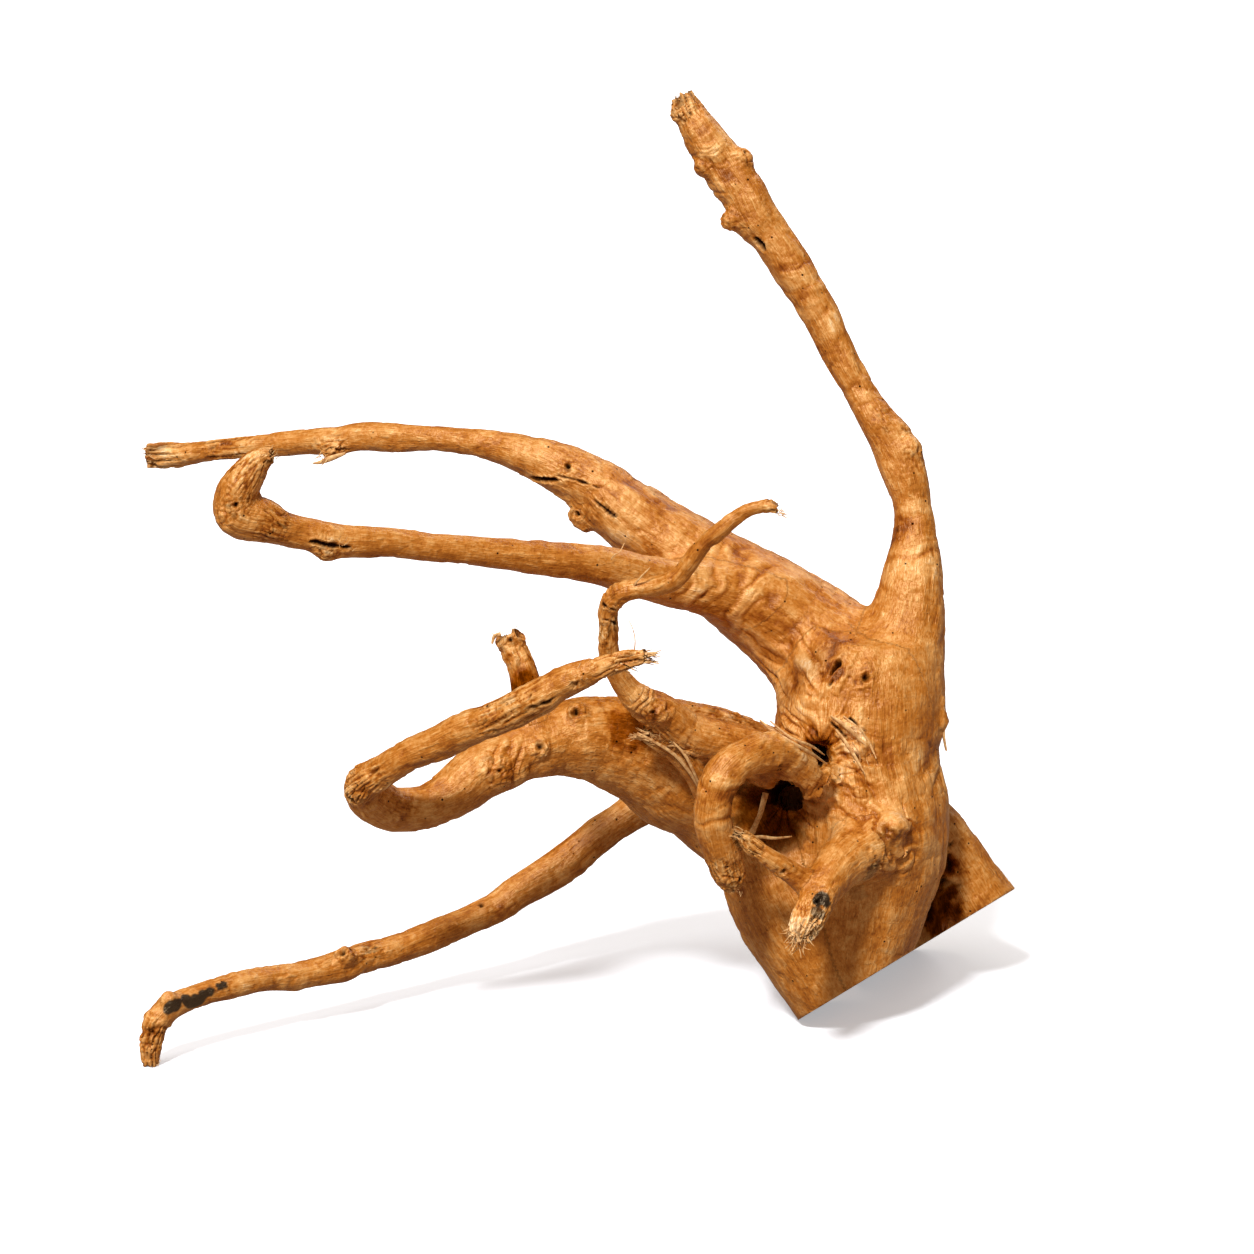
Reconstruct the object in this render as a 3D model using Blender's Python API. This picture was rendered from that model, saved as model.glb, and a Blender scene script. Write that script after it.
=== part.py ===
"""A red moor wood root, grown as one piece and sawn off flat at its stump.

The tables give millimetres. X runs to the right, Y away from the viewer and Z up, and the root stands on
Z = 0 on three low points: the tip of its leg and two corners of the sawn stump. Each limb is a tapering
tube through hand-placed stations, listed from its broken tip down to where it leaves the stump. The tubes
are fused, the forks are webbed the way wood grows round them, and the stump is sawn.
"""

from dataclasses import dataclass

import bmesh
import bpy
import numpy as np
from mathutils import Vector

NODE_NAME = "moor_wood_root"
MM = 0.001
TINY = 1e-9

# Driving dimensions, in millimetres
SAW_POINT = (93, -12, 0)
SAW_NORMAL = (0.514, -0.323, -0.794)
KNOT_WEB = 4
SKIN_ALLOWANCE = 0.3
VOXEL = 2.2
BLOCK_SIZE = 400

# How finely the wood is drawn
PATH_STEPS = 3
TUBE_SIDES_PER_QUARTER = 5
HOLLOW_SIDES = 10
TARGET_TRIANGLES = 10200
PRESS_ROUNDS = 3
LEAST_STEEPNESS = 0.25
TIP_REACH = 2
CREASE_ANGLE = 0.7

WOOD_COLOUR = (0.52, 0.24, 0.07, 1)
WOOD_ROUGHNESS = 0.5


@dataclass(frozen=True)
class Limb:
    """A tapering limb, with how widely it webs into the wood listed before it."""

    name: str
    web: float
    stations: tuple


@dataclass(frozen=True)
class Hollow:
    """A tapering hole that runs from its mouth to its blind end."""

    name: str
    mouth: tuple
    end: tuple
    mouth_radius: float
    end_radius: float


# Each station is (x, y, z, radius)
STUMP = (
    Limb("back_lobe", 14, (
        (120, 31, 148, 19.0), (120, 36, 127, 26.0), (123, 42, 91, 28.0), (131, 47, 54, 25.0),
        (145, 52, 18, 21.0), (157, 56, -8, 20.5),
    )),
    Limb("core", 14, (
        (120, 22, 130, 24.0), (122, 24, 100, 25.0), (129, 25, 62, 23.0), (136, 27, 22, 22.0),
        (142, 28, -5, 21.0),
    )),
    Limb("wing", 6, (
        (139, 24, 85, 10.0), (155, 26, 63, 12.7), (167, 27, 42, 15.1), (181, 28, 20, 16.9),
    )),
    Limb("bole", 8, (
        (118, 10, 153, 17.0), (116, 8, 145, 25.0), (115, 5, 132, 31.0), (115, 0, 108, 33.0),
        (119, -6, 80, 34.3), (116, -10, 51, 29.4), (114, -12, 30, 24.6), (121, -12, 8, 21.4),
    )),
    Limb("buttress", 12, (
        (67, -6, 88, 19.5), (78, -10, 73, 21.5), (91, -12, 48, 25.0), (112, -12, 13, 23.0),
        (126, -12, -7, 22.3),
    )),
)

BIG_LIMBS = (
    Limb("lower_branch", 12, (
        (30, -118, 182, 1.7), (27, -117, 181, 2.4), (19, -116, 179, 3.1), (12, -114, 176, 3.7),
        (5, -112, 173, 5.2), (-3, -110, 169, 6.2), (-10, -108, 164, 6.9), (-26, -103, 154, 6.7),
        (-41, -98, 147, 6.9), (-49, -95, 142, 6.6), (-61, -91, 136, 6.2), (-70, -86, 129, 6.1),
        (-77, -80, 123, 6.9), (-80, -73, 117, 7.7), (-76, -66, 110, 8.6), (-69, -60, 105, 8.6),
        (-59, -55, 104, 8.6), (-52, -52, 106, 8.8), (-44, -49, 110, 10.0), (-36, -46, 116, 11.2),
        (-28, -42, 119, 11.8), (-20, -38, 122, 11.9), (-13, -34, 123, 12.7), (-5, -29, 124, 14.3),
        (3, -25, 124, 16.4), (11, -21, 122, 17.6), (27, -15, 116, 20.9), (35, -12, 111, 22.2),
        (43, -9, 104, 23.1), (53, -6, 98, 22.5), (64, -4, 90, 22.5),
    )),
    Limb("rim", 5, (
        (26, 0, 132, 4.5), (35, 4, 128, 4.9), (52, 10, 123, 5.3), (68, 16, 116, 5.8),
        (81, 20, 109, 7.0), (96, 22, 99, 9.0),
    )),
    Limb("tall_arm", 14, (
        (44, 71, 371, 4.6), (48, 69, 362, 6.3), (53, 66, 354, 8.0), (60, 64, 345, 8.6),
        (65, 62, 337, 9.4), (70, 60, 330, 9.4), (74, 58, 322, 9.8), (81, 56, 314, 8.2),
        (91, 52, 299, 8.2), (101, 48, 283, 7.4), (109, 44, 267, 6.7), (118, 40, 251, 6.9),
        (123, 37, 243, 7.6), (129, 35, 235, 8.8), (133, 33, 227, 9.4), (136, 30, 219, 9.0),
        (138, 28, 211, 8.2), (139, 26, 204, 8.2), (139, 23, 195, 9.2), (139, 21, 188, 11.0),
        (138, 16, 177, 13.0), (136, 12, 163, 15.1), (132, 8, 148, 18.3), (127, 4, 128, 22.0),
    )),
    Limb("long_arm", 10, (
        (-186, 114, 211, 5.4), (-177, 112, 212, 5.8), (-168, 108, 213, 5.2), (-159, 104, 215, 4.5),
        (-143, 97, 218, 4.7), (-125, 90, 221, 5.3), (-108, 82, 224, 5.7), (-99, 78, 225, 6.1),
        (-90, 75, 227, 5.9), (-73, 68, 228, 5.9), (-56, 61, 229, 5.2), (-39, 55, 228, 5.8),
        (-22, 49, 225, 7.6), (-6, 44, 220, 10.3), (11, 39, 212, 12.1), (20, 36, 204, 14.0),
        (44, 32, 188, 16.4), (67, 28, 174, 18.9), (89, 25, 159, 22.2), (106, 23, 144, 25.1),
        (118, 20, 123, 27.2),
    )),
    Limb("hook_arm", 9, (
        (-112, -62, 246, 3.0), (-117, -61, 245, 4.6), (-122, -60, 239, 6.7), (-127, -59, 230, 8.4),
        (-126, -58, 223, 9.6), (-118, -57, 220, 8.6), (-110, -55, 216, 6.7), (-100, -52, 213, 6.4),
        (-91, -49, 210, 6.6), (-81, -46, 209, 6.2), (-66, -40, 207, 5.8), (-51, -35, 204, 5.7),
        (-36, -29, 201, 5.7), (-20, -23, 198, 6.5), (-5, -17, 195, 7.1), (11, -10, 191, 7.8),
        (27, -2, 185, 8.8), (43, 5, 180, 9.8), (60, 12, 175, 11.0), (80, 18, 169, 13.0),
    )),
    Limb("leg", 10, (
        (-167, -64, -2, 3.0), (-167, -64, 5, 3.6), (-166, -64, 12, 4.6), (-164, -64, 19, 5.3),
        (-159, -61, 23, 5.2), (-152, -56, 25, 4.9), (-141, -48, 26, 5.0), (-126, -37, 26, 4.9),
        (-111, -26, 24, 5.8), (-95, -15, 24, 6.7), (-88, -9, 25, 6.2), (-72, 2, 26, 6.1),
        (-56, 13, 29, 6.2), (-40, 23, 33, 5.9), (-31, 28, 36, 6.6), (-23, 33, 41, 7.4),
        (-6, 41, 49, 7.9), (11, 48, 61, 7.6), (19, 51, 66, 7.6), (32, 54, 73, 8.5),
        (53, 56, 78, 10.6), (78, 54, 81, 13.6), (104, 46, 77, 19.0),
    )),
)

SMALL_LIMBS = (
    Limb("curl", 6, (
        (64, -62, 74, 4.3), (62, -64, 80, 6.3), (58, -68, 92, 7.4), (55, -71, 107, 7.4),
        (59, -70, 121, 7.5), (68, -64, 127, 7.6), (81, -52, 125, 8.2), (95, -37, 112, 10.3),
    )),
    Limb("snout", 8, (
        (89, -85, 58, 2.7), (90, -83, 62, 5.4), (94, -76, 68, 6.8), (98, -68, 74, 7.8),
        (105, -56, 80, 9.8), (115, -42, 82, 11.9), (127, -26, 83, 13.7),
    )),
    Limb("snout_twig", 3, (
        (65, -74, 100, 2.3), (70, -73, 95, 3.5), (77, -72, 89, 3.7), (86, -69, 82, 4.7),
        (95, -64, 74, 5.5),
    )),
    Limb("twig", 5, (
        (80, -84, 230, 2.1), (76, -83, 231, 2.6), (70, -82, 230, 2.6), (64, -81, 227, 2.8),
        (57, -80, 221, 3.2), (50, -78, 214, 3.2), (44, -76, 205, 3.4), (39, -74, 200, 3.6),
        (31, -71, 197, 3.4), (22, -69, 195, 3.6), (17, -67, 191, 3.8), (15, -65, 186, 4.0),
        (15, -63, 178, 3.9), (15, -61, 169, 3.9), (17, -58, 161, 4.1), (22, -55, 153, 4.9),
        (27, -52, 147, 6.2), (36, -48, 140, 7.8), (47, -42, 130, 8.7), (65, -36, 123, 9.5),
        (81, -30, 114, 10.4),
    )),
    Limb("snag", 4, (
        (-25, -22, 167, 4.4), (-24, -23, 163, 4.8), (-22, -25, 158, 4.8), (-19, -28, 151, 5.4),
        (-16, -34, 134, 7.1),
    )),
    Limb("splinter_root", 2.5, (
        (27, -50, 133, 2.0), (33, -48, 129, 2.6), (41, -45, 123, 3.2), (48, -41, 113, 3.4),
        (53, -36, 101, 4.0), (57, -30, 87, 4.8),
    )),
    Limb("splinter_side_root", 2.5, (
        (41, -48, 129, 1.8), (47, -45, 122, 2.6), (52, -42, 112, 3.0), (57, -38, 102, 3.6),
    )),
)

# Each knot is (x, y, z, radius)
KNOTS = (
    (69, 60, 345, 3.7), (53, 60, 342, 3.7), (64, 53, 321, 3.7), (43, 66, 363, 3.0),
    (136, 29, 231, 4.5), (125, 34, 240, 3.7), (2, 36, 201, 3.5), (5, 35, 197, 2.2),
    (-102, 74, 221, 3.4), (-94, -53, 207, 3.5), (-129, -60, 221, 4.6), (2, -34, 137, 3.6),
    (-12, -46, 126, 2.6), (-28, -52, 116, 3.4), (-93, -19, 30, 3.4), (127, -42, 91, 6.0),
    (117, -17, 148, 3.8), (150, -4, 126, 2.4), (-159, -64, 28, 3.2), (33, -56, 143, 3.4),
)

HOLLOWS = (
    Hollow("upper_funnel", (99, -46, 124), (97, 4, 108), 5.5, 3),
    Hollow("curl_hole", (84, -48, 106), (90, 2, 90), 6.5, 3.5),
)


def clear_scene():
    """Removes every object, so that the model starts from nothing."""
    for obj in list(bpy.data.objects):
        bpy.data.objects.remove(obj, do_unlink=True)


def linked(name, data):
    """A new object in the scene that holds this data."""
    obj = bpy.data.objects.new(name, data)
    bpy.context.scene.collection.objects.link(obj)
    return obj


def smooth_path(stations):
    """Points on the smooth curve through the stations, with their radii, in metres."""
    places = np.array(stations, float) * MM
    before = 2 * places[0] - places[1]
    after = 2 * places[-1] - places[-2]
    guide = np.vstack([before, places, after])
    path = []
    for a, b, c, d in zip(guide, guide[1:], guide[2:], guide[3:]):
        for step in range(PATH_STEPS):
            t = step / PATH_STEPS
            bend = (2 * a - 5 * b + 4 * c - d) * t**2 + (3 * b - a - 3 * c + d) * t**3
            path.append(b + ((c - a) * t + bend) / 2)
    path.append(places[-1])
    return np.array(path)


def limb_tube(limb):
    """The limb as a bevelled curve whose radius follows its stations."""
    path = smooth_path(limb.stations)
    curve = bpy.data.curves.new(limb.name, "CURVE")
    curve.dimensions = "3D"
    curve.bevel_depth = 1.0
    curve.bevel_resolution = TUBE_SIDES_PER_QUARTER
    curve.use_fill_caps = True
    spline = curve.splines.new("POLY")
    spline.points.add(len(path) - 1)
    for point, (x, y, z, radius) in zip(spline.points, path):
        point.co = (x, y, z, 1)
        point.radius = radius
    return linked(limb.name, curve)


def knot_ball(index, knot):
    """A knot as a small ball that stands a little out of its limb."""
    x, y, z, radius = (value * MM for value in knot)
    mesh = bpy.data.meshes.new(f"knot_{index}")
    ball = bmesh.new()
    bmesh.ops.create_icosphere(ball, subdivisions=2, radius=radius)
    bmesh.ops.translate(ball, vec=(x, y, z), verts=ball.verts)
    ball.to_mesh(mesh)
    ball.free()
    return linked(mesh.name, mesh)


def evaluated_mesh(obj):
    """The object's mesh with its modifiers applied."""
    graph = bpy.context.evaluated_depsgraph_get()
    return bpy.data.meshes.new_from_object(obj.evaluated_get(graph))


def joined(name, objects):
    """One object that holds the meshes of all these, which are removed."""
    whole = bmesh.new()
    for obj in objects:
        mesh = evaluated_mesh(obj)
        whole.from_mesh(mesh)
        bpy.data.meshes.remove(mesh)
        bpy.data.objects.remove(obj, do_unlink=True)
    mesh = bpy.data.meshes.new(name)
    whole.to_mesh(mesh)
    whole.free()
    return linked(name, mesh)


def apply_modifiers(obj):
    """Keeps the shape that the modifiers give, and removes them."""
    mesh = evaluated_mesh(obj)
    old = obj.data
    obj.modifiers.clear()
    obj.data = mesh
    bpy.data.meshes.remove(old)


def fuse(obj):
    """Makes the overlapping shapes one closed skin."""
    remesh = obj.modifiers.new("fuse", "REMESH")
    remesh.mode = "VOXEL"
    remesh.voxel_size = VOXEL * MM
    apply_modifiers(obj)


def unit(offsets):
    """The direction and the length of each offset."""
    lengths = np.linalg.norm(offsets, axis=1)
    return offsets / np.maximum(lengths, TINY)[:, None], lengths


def limb_distance(points, path):
    """How far each point lies outside the limb, and the direction away from its heart."""
    distance = np.full(len(points), np.inf)
    away = np.zeros((len(points), 3))
    tip, tip_radius = path[0, :3], path[0, 3]
    out_of_tip = tip - path[2, :3]
    out_of_tip /= np.linalg.norm(out_of_tip)
    past_tip = (points - tip) @ out_of_tip
    for start, end in zip(path, path[1:]):
        run = end[:3] - start[:3]
        along = np.clip((points - start[:3]) @ run / (run @ run), 0, 1)
        outward, length = unit(points - start[:3] - along[:, None] * run)
        outside = length - start[3] - along * (end[3] - start[3])
        if np.linalg.norm(start[:3] - tip) < TIP_REACH * tip_radius:
            beyond = past_tip > outside
            outside[beyond] = past_tip[beyond]
            outward[beyond] = out_of_tip
        nearer = outside < distance
        distance[nearer] = outside[nearer]
        away[nearer] = outward[nearer]
    return distance, away


def knot_distance(points, knot):
    """How far each point lies outside the knot, and the direction away from its middle."""
    x, y, z, radius = (value * MM for value in knot)
    away, length = unit(points - np.array((x, y, z)))
    return length - radius, away


def wood_skin(points):
    """How far each point lies outside the grown wood, and the direction out of it."""
    shapes = [
        (limb.web, limb_distance(points, smooth_path(limb.stations)))
        for limb in STUMP + BIG_LIMBS + SMALL_LIMBS
    ]
    shapes += [(KNOT_WEB, knot_distance(points, knot)) for knot in KNOTS]
    depth = np.ones(len(points))
    out = np.zeros((len(points), 3))
    for web, (distance, away) in shapes:
        share = np.clip(0.5 + 0.5 * (depth - distance) / (web * MM), 0, 1)
        depth = depth * (1 - share) + distance * share - web * MM * share * (1 - share)
        out = out * (1 - share[:, None]) + away * share[:, None]
    return depth, out


def web_forks(obj):
    """Moves the fused skin out to the grown wood, which fills each fork with a rounded web."""
    points = np.empty(len(obj.data.vertices) * 3)
    obj.data.vertices.foreach_get("co", points)
    points = points.reshape(-1, 3)
    for _ in range(PRESS_ROUNDS):
        depth, out = wood_skin(points)
        depth -= SKIN_ALLOWANCE * MM
        steepness = np.maximum((out**2).sum(axis=1), LEAST_STEEPNESS)
        points -= out * (depth / steepness)[:, None]
    obj.data.vertices.foreach_set("co", points.ravel())
    obj.data.update()


def thin_out(obj):
    """Leaves about as many triangles as the shape needs."""
    obj.data.calc_loop_triangles()
    decimate = obj.modifiers.new("thin_out", "DECIMATE")
    decimate.ratio = TARGET_TRIANGLES / len(obj.data.loop_triangles)
    decimate.use_collapse_triangulate = True
    apply_modifiers(obj)


def drop_scraps(obj):
    """Keeps the root itself, and deletes any loose scrap that thinning has left beside it."""
    skin = bmesh.new()
    skin.from_mesh(obj.data)
    left = set(skin.verts)
    bodies = []
    while left:
        body = {left.pop()}
        edge_of_body = set(body)
        while edge_of_body:
            reached = {edge.other_vert(vert) for vert in edge_of_body for edge in vert.link_edges}
            edge_of_body = reached - body
            body |= edge_of_body
        left -= body
        bodies.append(body)
    root = max(bodies, key=len)
    scraps = [vert for body in bodies if body is not root for vert in body]
    bmesh.ops.delete(skin, geom=scraps, context="VERTS")
    skin.to_mesh(obj.data)
    skin.free()


def block_cutter(name, point, normal):
    """A cube with one face on the plane through point, on the side that normal points to."""
    mesh = bpy.data.meshes.new(name)
    cube = bmesh.new()
    bmesh.ops.create_cube(cube, size=BLOCK_SIZE * MM)
    cube.to_mesh(mesh)
    cube.free()
    cutter = linked(name, mesh)
    direction = Vector(normal).normalized()
    cutter.rotation_mode = "QUATERNION"
    cutter.rotation_quaternion = direction.to_track_quat("Z", "Y")
    cutter.location = (Vector(point) + direction * BLOCK_SIZE / 2) * MM
    return cutter


def hollow_cutter(hollow):
    """A tapering plug along the hollow."""
    mouth = Vector(hollow.mouth) * MM
    end = Vector(hollow.end) * MM
    mesh = bpy.data.meshes.new(hollow.name)
    plug = bmesh.new()
    bmesh.ops.create_cone(
        plug, cap_ends=True, segments=HOLLOW_SIDES, depth=(end - mouth).length,
        radius1=hollow.mouth_radius * MM, radius2=hollow.end_radius * MM,
    )
    plug.to_mesh(mesh)
    plug.free()
    cutter = linked(hollow.name, mesh)
    cutter.rotation_mode = "QUATERNION"
    cutter.rotation_quaternion = (end - mouth).to_track_quat("Z", "Y")
    cutter.location = (mouth + end) / 2
    return cutter


def cut(obj, cutter):
    """Takes the cutter's shape out of the object, then removes the cutter."""
    cutter.hide_render = True
    cutter.display_type = "WIRE"
    difference = obj.modifiers.new(cutter.name, "BOOLEAN")
    difference.operation = "DIFFERENCE"
    difference.solver = "EXACT"
    difference.object = cutter
    bpy.context.view_layer.update()
    apply_modifiers(obj)
    bpy.data.objects.remove(cutter, do_unlink=True)


def wood_material():
    """Peeled root wood: warm orange tan and satin."""
    wood = bpy.data.materials.new("peeled_root_wood")
    wood.use_nodes = True
    shader = wood.node_tree.nodes["Principled BSDF"]
    shader.inputs["Base Color"].default_value = WOOD_COLOUR
    shader.inputs["Roughness"].default_value = WOOD_ROUGHNESS
    shader.inputs["Metallic"].default_value = 0
    return wood


def build_root():
    """Fuses the limbs, webs the forks, thins the skin, then bores the hollows and saws the stump."""
    limbs = [limb_tube(limb) for limb in STUMP + BIG_LIMBS + SMALL_LIMBS]
    knots = [knot_ball(index, knot) for index, knot in enumerate(KNOTS)]
    root = joined(NODE_NAME, limbs + knots)
    fuse(root)
    web_forks(root)
    fuse(root)
    thin_out(root)
    drop_scraps(root)
    for hollow in HOLLOWS:
        cut(root, hollow_cutter(hollow))
    cut(root, block_cutter("saw_block", SAW_POINT, SAW_NORMAL))
    cut(root, block_cutter("ground_block", (0, 0, 0), (0, 0, -1)))
    root.data.materials.clear()
    root.data.materials.append(wood_material())
    root.data.shade_smooth()
    root.data.set_sharp_from_angle(angle=CREASE_ANGLE)
    return root


clear_scene()
build_root()
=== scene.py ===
"""The looks of a red moor wood root: peeled root wood with torn tips, on a pale studio floor.

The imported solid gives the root's skin, which is drawn finer and pressed onto the same limbs. Wrinkles,
cracks, pits, fibres and torn tips are then worked into it. Sizes in the tables are millimetres.
"""

import logging
import math
from dataclasses import dataclass, field
from enum import Enum
from itertools import product
from typing import Any

import bmesh
import bpy
import numpy as np
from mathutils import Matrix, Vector


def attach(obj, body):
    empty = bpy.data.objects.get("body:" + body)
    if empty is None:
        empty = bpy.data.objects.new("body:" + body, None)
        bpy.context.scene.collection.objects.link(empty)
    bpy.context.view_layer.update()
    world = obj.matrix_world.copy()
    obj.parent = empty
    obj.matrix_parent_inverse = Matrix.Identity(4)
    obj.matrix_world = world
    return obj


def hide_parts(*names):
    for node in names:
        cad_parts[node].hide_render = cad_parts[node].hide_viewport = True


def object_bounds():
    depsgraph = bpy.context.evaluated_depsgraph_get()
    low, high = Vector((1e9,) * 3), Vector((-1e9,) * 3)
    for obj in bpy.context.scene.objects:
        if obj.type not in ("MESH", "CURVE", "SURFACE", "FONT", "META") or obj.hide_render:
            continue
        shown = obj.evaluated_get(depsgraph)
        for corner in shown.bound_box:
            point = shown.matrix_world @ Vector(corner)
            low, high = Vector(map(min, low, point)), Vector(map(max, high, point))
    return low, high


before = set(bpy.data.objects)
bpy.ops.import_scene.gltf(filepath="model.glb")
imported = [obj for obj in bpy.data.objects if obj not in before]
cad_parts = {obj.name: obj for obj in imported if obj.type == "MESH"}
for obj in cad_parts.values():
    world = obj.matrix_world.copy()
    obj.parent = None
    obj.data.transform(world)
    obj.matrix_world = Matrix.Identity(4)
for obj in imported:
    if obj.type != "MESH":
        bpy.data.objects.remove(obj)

Array = np.ndarray
Tree = bpy.types.NodeTree
Socket = bpy.types.NodeSocket

LOG = logging.getLogger("red_moor_root")
CAD_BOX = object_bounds()
NODE = "moor_wood_root"
MM = 0.001
TINY = 1e-9

# The width of the skin's even faces, which a wrinkle of 3 mm still needs.
VOXEL = 0.86
# Steps of a limb's path from one station to the next, and how many of them are measured in one box.
PATH_STEPS = 4
STRETCH = 8
# How often the skin is moved onto the limbs, and what keeps a move short where two limbs pull apart.
PRESS_ROUNDS = 2
LEAST_STEEPNESS = 0.25
# How far outside a limb its web is felt, and the width over which one limb's grain passes into the next's.
REACH_OF_WEBS = 16.0
GRAIN_CROSSING = 11.0
# How far apart the limbs' grain starts, so that no two limbs share their streaks.
GRAIN_GAP = 700.0
# Farther away than any place on the root.
FAR = 1000.0
# A point this near a joint's plane is moved onto it.
SNAP = 0.12


def unit(offsets: Array) -> tuple[Array, Array]:
    """Splits offsets into directions and lengths.

    Args:
        offsets: Rows of three numbers.

    Returns:
        The direction of each row, and its length.
    """
    lengths = np.linalg.norm(offsets, axis=1)
    return offsets / np.maximum(lengths, TINY)[:, None], lengths


def direction(way: tuple | Array) -> Array:
    """Gives a way the length 1."""
    return unit(np.array([way], float))[0][0]


def ease(values: Array) -> Array:
    """Gives a smooth step from 0 to 1 over values from 0 to 1."""
    held = np.clip(values, 0.0, 1.0)
    return held * held * (3.0 - 2.0 * held)


def scatter(cells: Array, seed: int) -> Array:
    """Gives each whole-numbered cell its own fixed random value.

    Args:
        cells: Rows of three whole numbers.
        seed: Picks another set of values.

    Returns:
        A value from -1 to 1 for each row.
    """
    low = np.uint64(0xFFFFFFFF)
    spread = np.array((73856093, 19349663, 83492791))
    key = (cells.astype(np.int64) @ spread + seed * 40503).astype(np.uint64)
    for shift, factor in ((15, 2246822519), (13, 3266489917)):
        key = (key & low) ^ ((key & low) >> np.uint64(shift))
        key = key * np.uint64(factor)
    key = (key & low) >> np.uint64(12)
    return (key & np.uint64(0xFFFF)).astype(float) / 32767.5 - 1.0


def ripple(places: Array, seed: int) -> Array:
    """Gives smooth random heights whose swells are about one unit apart.

    Args:
        places: Where to read the heights, in swells.
        seed: Picks another set of swells.

    Returns:
        A height from -1 to 1 for each place.
    """
    cell = np.floor(places)
    part = ease(places - cell)
    total = np.zeros(len(places))
    for corner in product((0, 1), repeat=3):
        weight = np.prod(np.where(np.array(corner, bool), part, 1.0 - part), axis=1)
        total += weight * scatter(cell + corner, seed)
    return total


def wrinkle(places: Array, seed: int) -> Array:
    """Gives rounded swells one unit wide: 1 on their backs, 0 in the sharp valleys between them."""
    return ease(2.3 * np.abs(ripple(places, seed)))


def refined(points: Array, faces: Array, chosen: Array) -> tuple[Array, Array]:
    """Splits triangles into four, and their neighbours so that no gap opens.

    Args:
        points: Rows of three numbers.
        faces: Triangles, as rows of three point numbers.
        chosen: Which triangles to split.

    Returns:
        The points and the triangles.
    """
    count = len(points)
    edges = np.sort(faces[:, [[0, 1], [1, 2], [2, 0]]], axis=2).astype(np.int64)
    keys = edges[:, :, 0] * count + edges[:, :, 1]
    split = np.unique(keys[chosen])
    found = np.minimum(np.searchsorted(split, keys), len(split) - 1)
    middle = np.where(split[found] == keys, count + found, -1)
    fresh = (points[split // count] + points[split % count]) / 2
    splits = (middle >= 0).sum(axis=1)
    parts = [faces[splits == 0]]
    for number, patterns in (
        (1, ((0, 3, 2), (3, 1, 2))),
        (2, ((3, 1, 4), (0, 3, 4), (0, 4, 2))),
        (3, ((0, 3, 5), (3, 1, 4), (5, 4, 2), (3, 4, 5))),
    ):
        rows = splits == number
        if number == 1:
            turn = np.argmax(middle[rows] >= 0, axis=1)
        else:
            turn = np.argmax(middle[rows] < 0, axis=1) + 1
        order = (np.arange(3) + turn[:, None]) % 3
        six = np.hstack([
            np.take_along_axis(faces[rows], order, axis=1), np.take_along_axis(middle[rows], order, axis=1),
        ])
        parts += [six[:, pattern] for pattern in patterns]
    return np.vstack([points, fresh]), np.vstack(parts).astype(faces.dtype)


def line_distance(points: Array, line: Array) -> tuple[Array, Array]:
    """Measures how far points lie from a bent line.

    Args:
        points: Rows of three numbers.
        line: The line's corners, as rows of three numbers.

    Returns:
        The distance of each point, and how far along the line its nearest place is, from 0 to 1.
    """
    best = np.full(len(points), np.inf)
    share = np.zeros(len(points))
    lengths = np.linalg.norm(np.diff(line, axis=0), axis=1)
    starts = np.concatenate([[0.0], np.cumsum(lengths)])
    for index, (start, end) in enumerate(zip(line, line[1:])):
        run = end - start
        along = np.clip((points - start) @ run / max(run @ run, TINY), 0, 1)
        gap = np.linalg.norm(points - start - along[:, None] * run, axis=1)
        nearer = gap < best
        best[nearer] = gap[nearer]
        share[nearer] = (starts[index] + along * lengths[index])[nearer] / starts[-1]
    return best, share


def linked(name: str, data: bpy.types.ID) -> bpy.types.Object:
    """Puts data into the scene.

    Args:
        name: The object's name.
        data: Its mesh, light or camera.

    Returns:
        The new object, at the origin.
    """
    obj = bpy.data.objects.new(name, data)
    bpy.context.scene.collection.objects.link(obj)
    return obj


def apply_modifiers(obj: bpy.types.Object) -> None:
    """Keeps the mesh that an object's modifiers give, and removes the modifiers.

    Args:
        obj: The object.
    """
    graph = bpy.context.evaluated_depsgraph_get()
    mesh = bpy.data.meshes.new_from_object(obj.evaluated_get(graph))
    obj.modifiers.clear()
    obj.data = mesh


def colour(hex_code: str) -> tuple[float, float, float, float]:
    """Turns an sRGB hex colour into a linear one.

    Args:
        hex_code: The colour, as # and six digits.

    Returns:
        Linear red, green, blue and alpha.
    """
    values = [int(hex_code[i:i + 2], 16) / 255 for i in (1, 3, 5)]
    linear = [v / 12.92 if v <= 0.04045 else ((v + 0.055) / 1.055) ** 2.4 for v in values]
    return (*linear, 1.0)


def swells(width: float) -> tuple[float, float, float]:
    """Gives the scale on Object coordinates of a pattern whose swells are this wide, in millimetres."""
    return (1 / (width * MM),) * 3


def add_node(tree: Tree, kind: str, settings: dict[str, Any] | None = None, **feeds: Any) -> bpy.types.Node:
    """Adds a node with its settings and links.

    Args:
        tree: The tree that gets the node.
        kind: The node's type.
        settings: The node's own properties.
        feeds: A value or an output socket for each input, under the input's name with _ for a space, or
            under i and its number.

    Returns:
        The new node.
    """
    node = tree.nodes.new(kind)
    for key, value in (settings or {}).items():
        setattr(node, key, value)
    for key, value in feeds.items():
        index = int(key[1:]) if key[0] == "i" and key[1:].isdigit() else key.replace("_", " ")
        socket = node.inputs[index]
        if isinstance(value, Socket):
            tree.links.new(value, socket)
        else:
            socket.default_value = value
    return node


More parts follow.
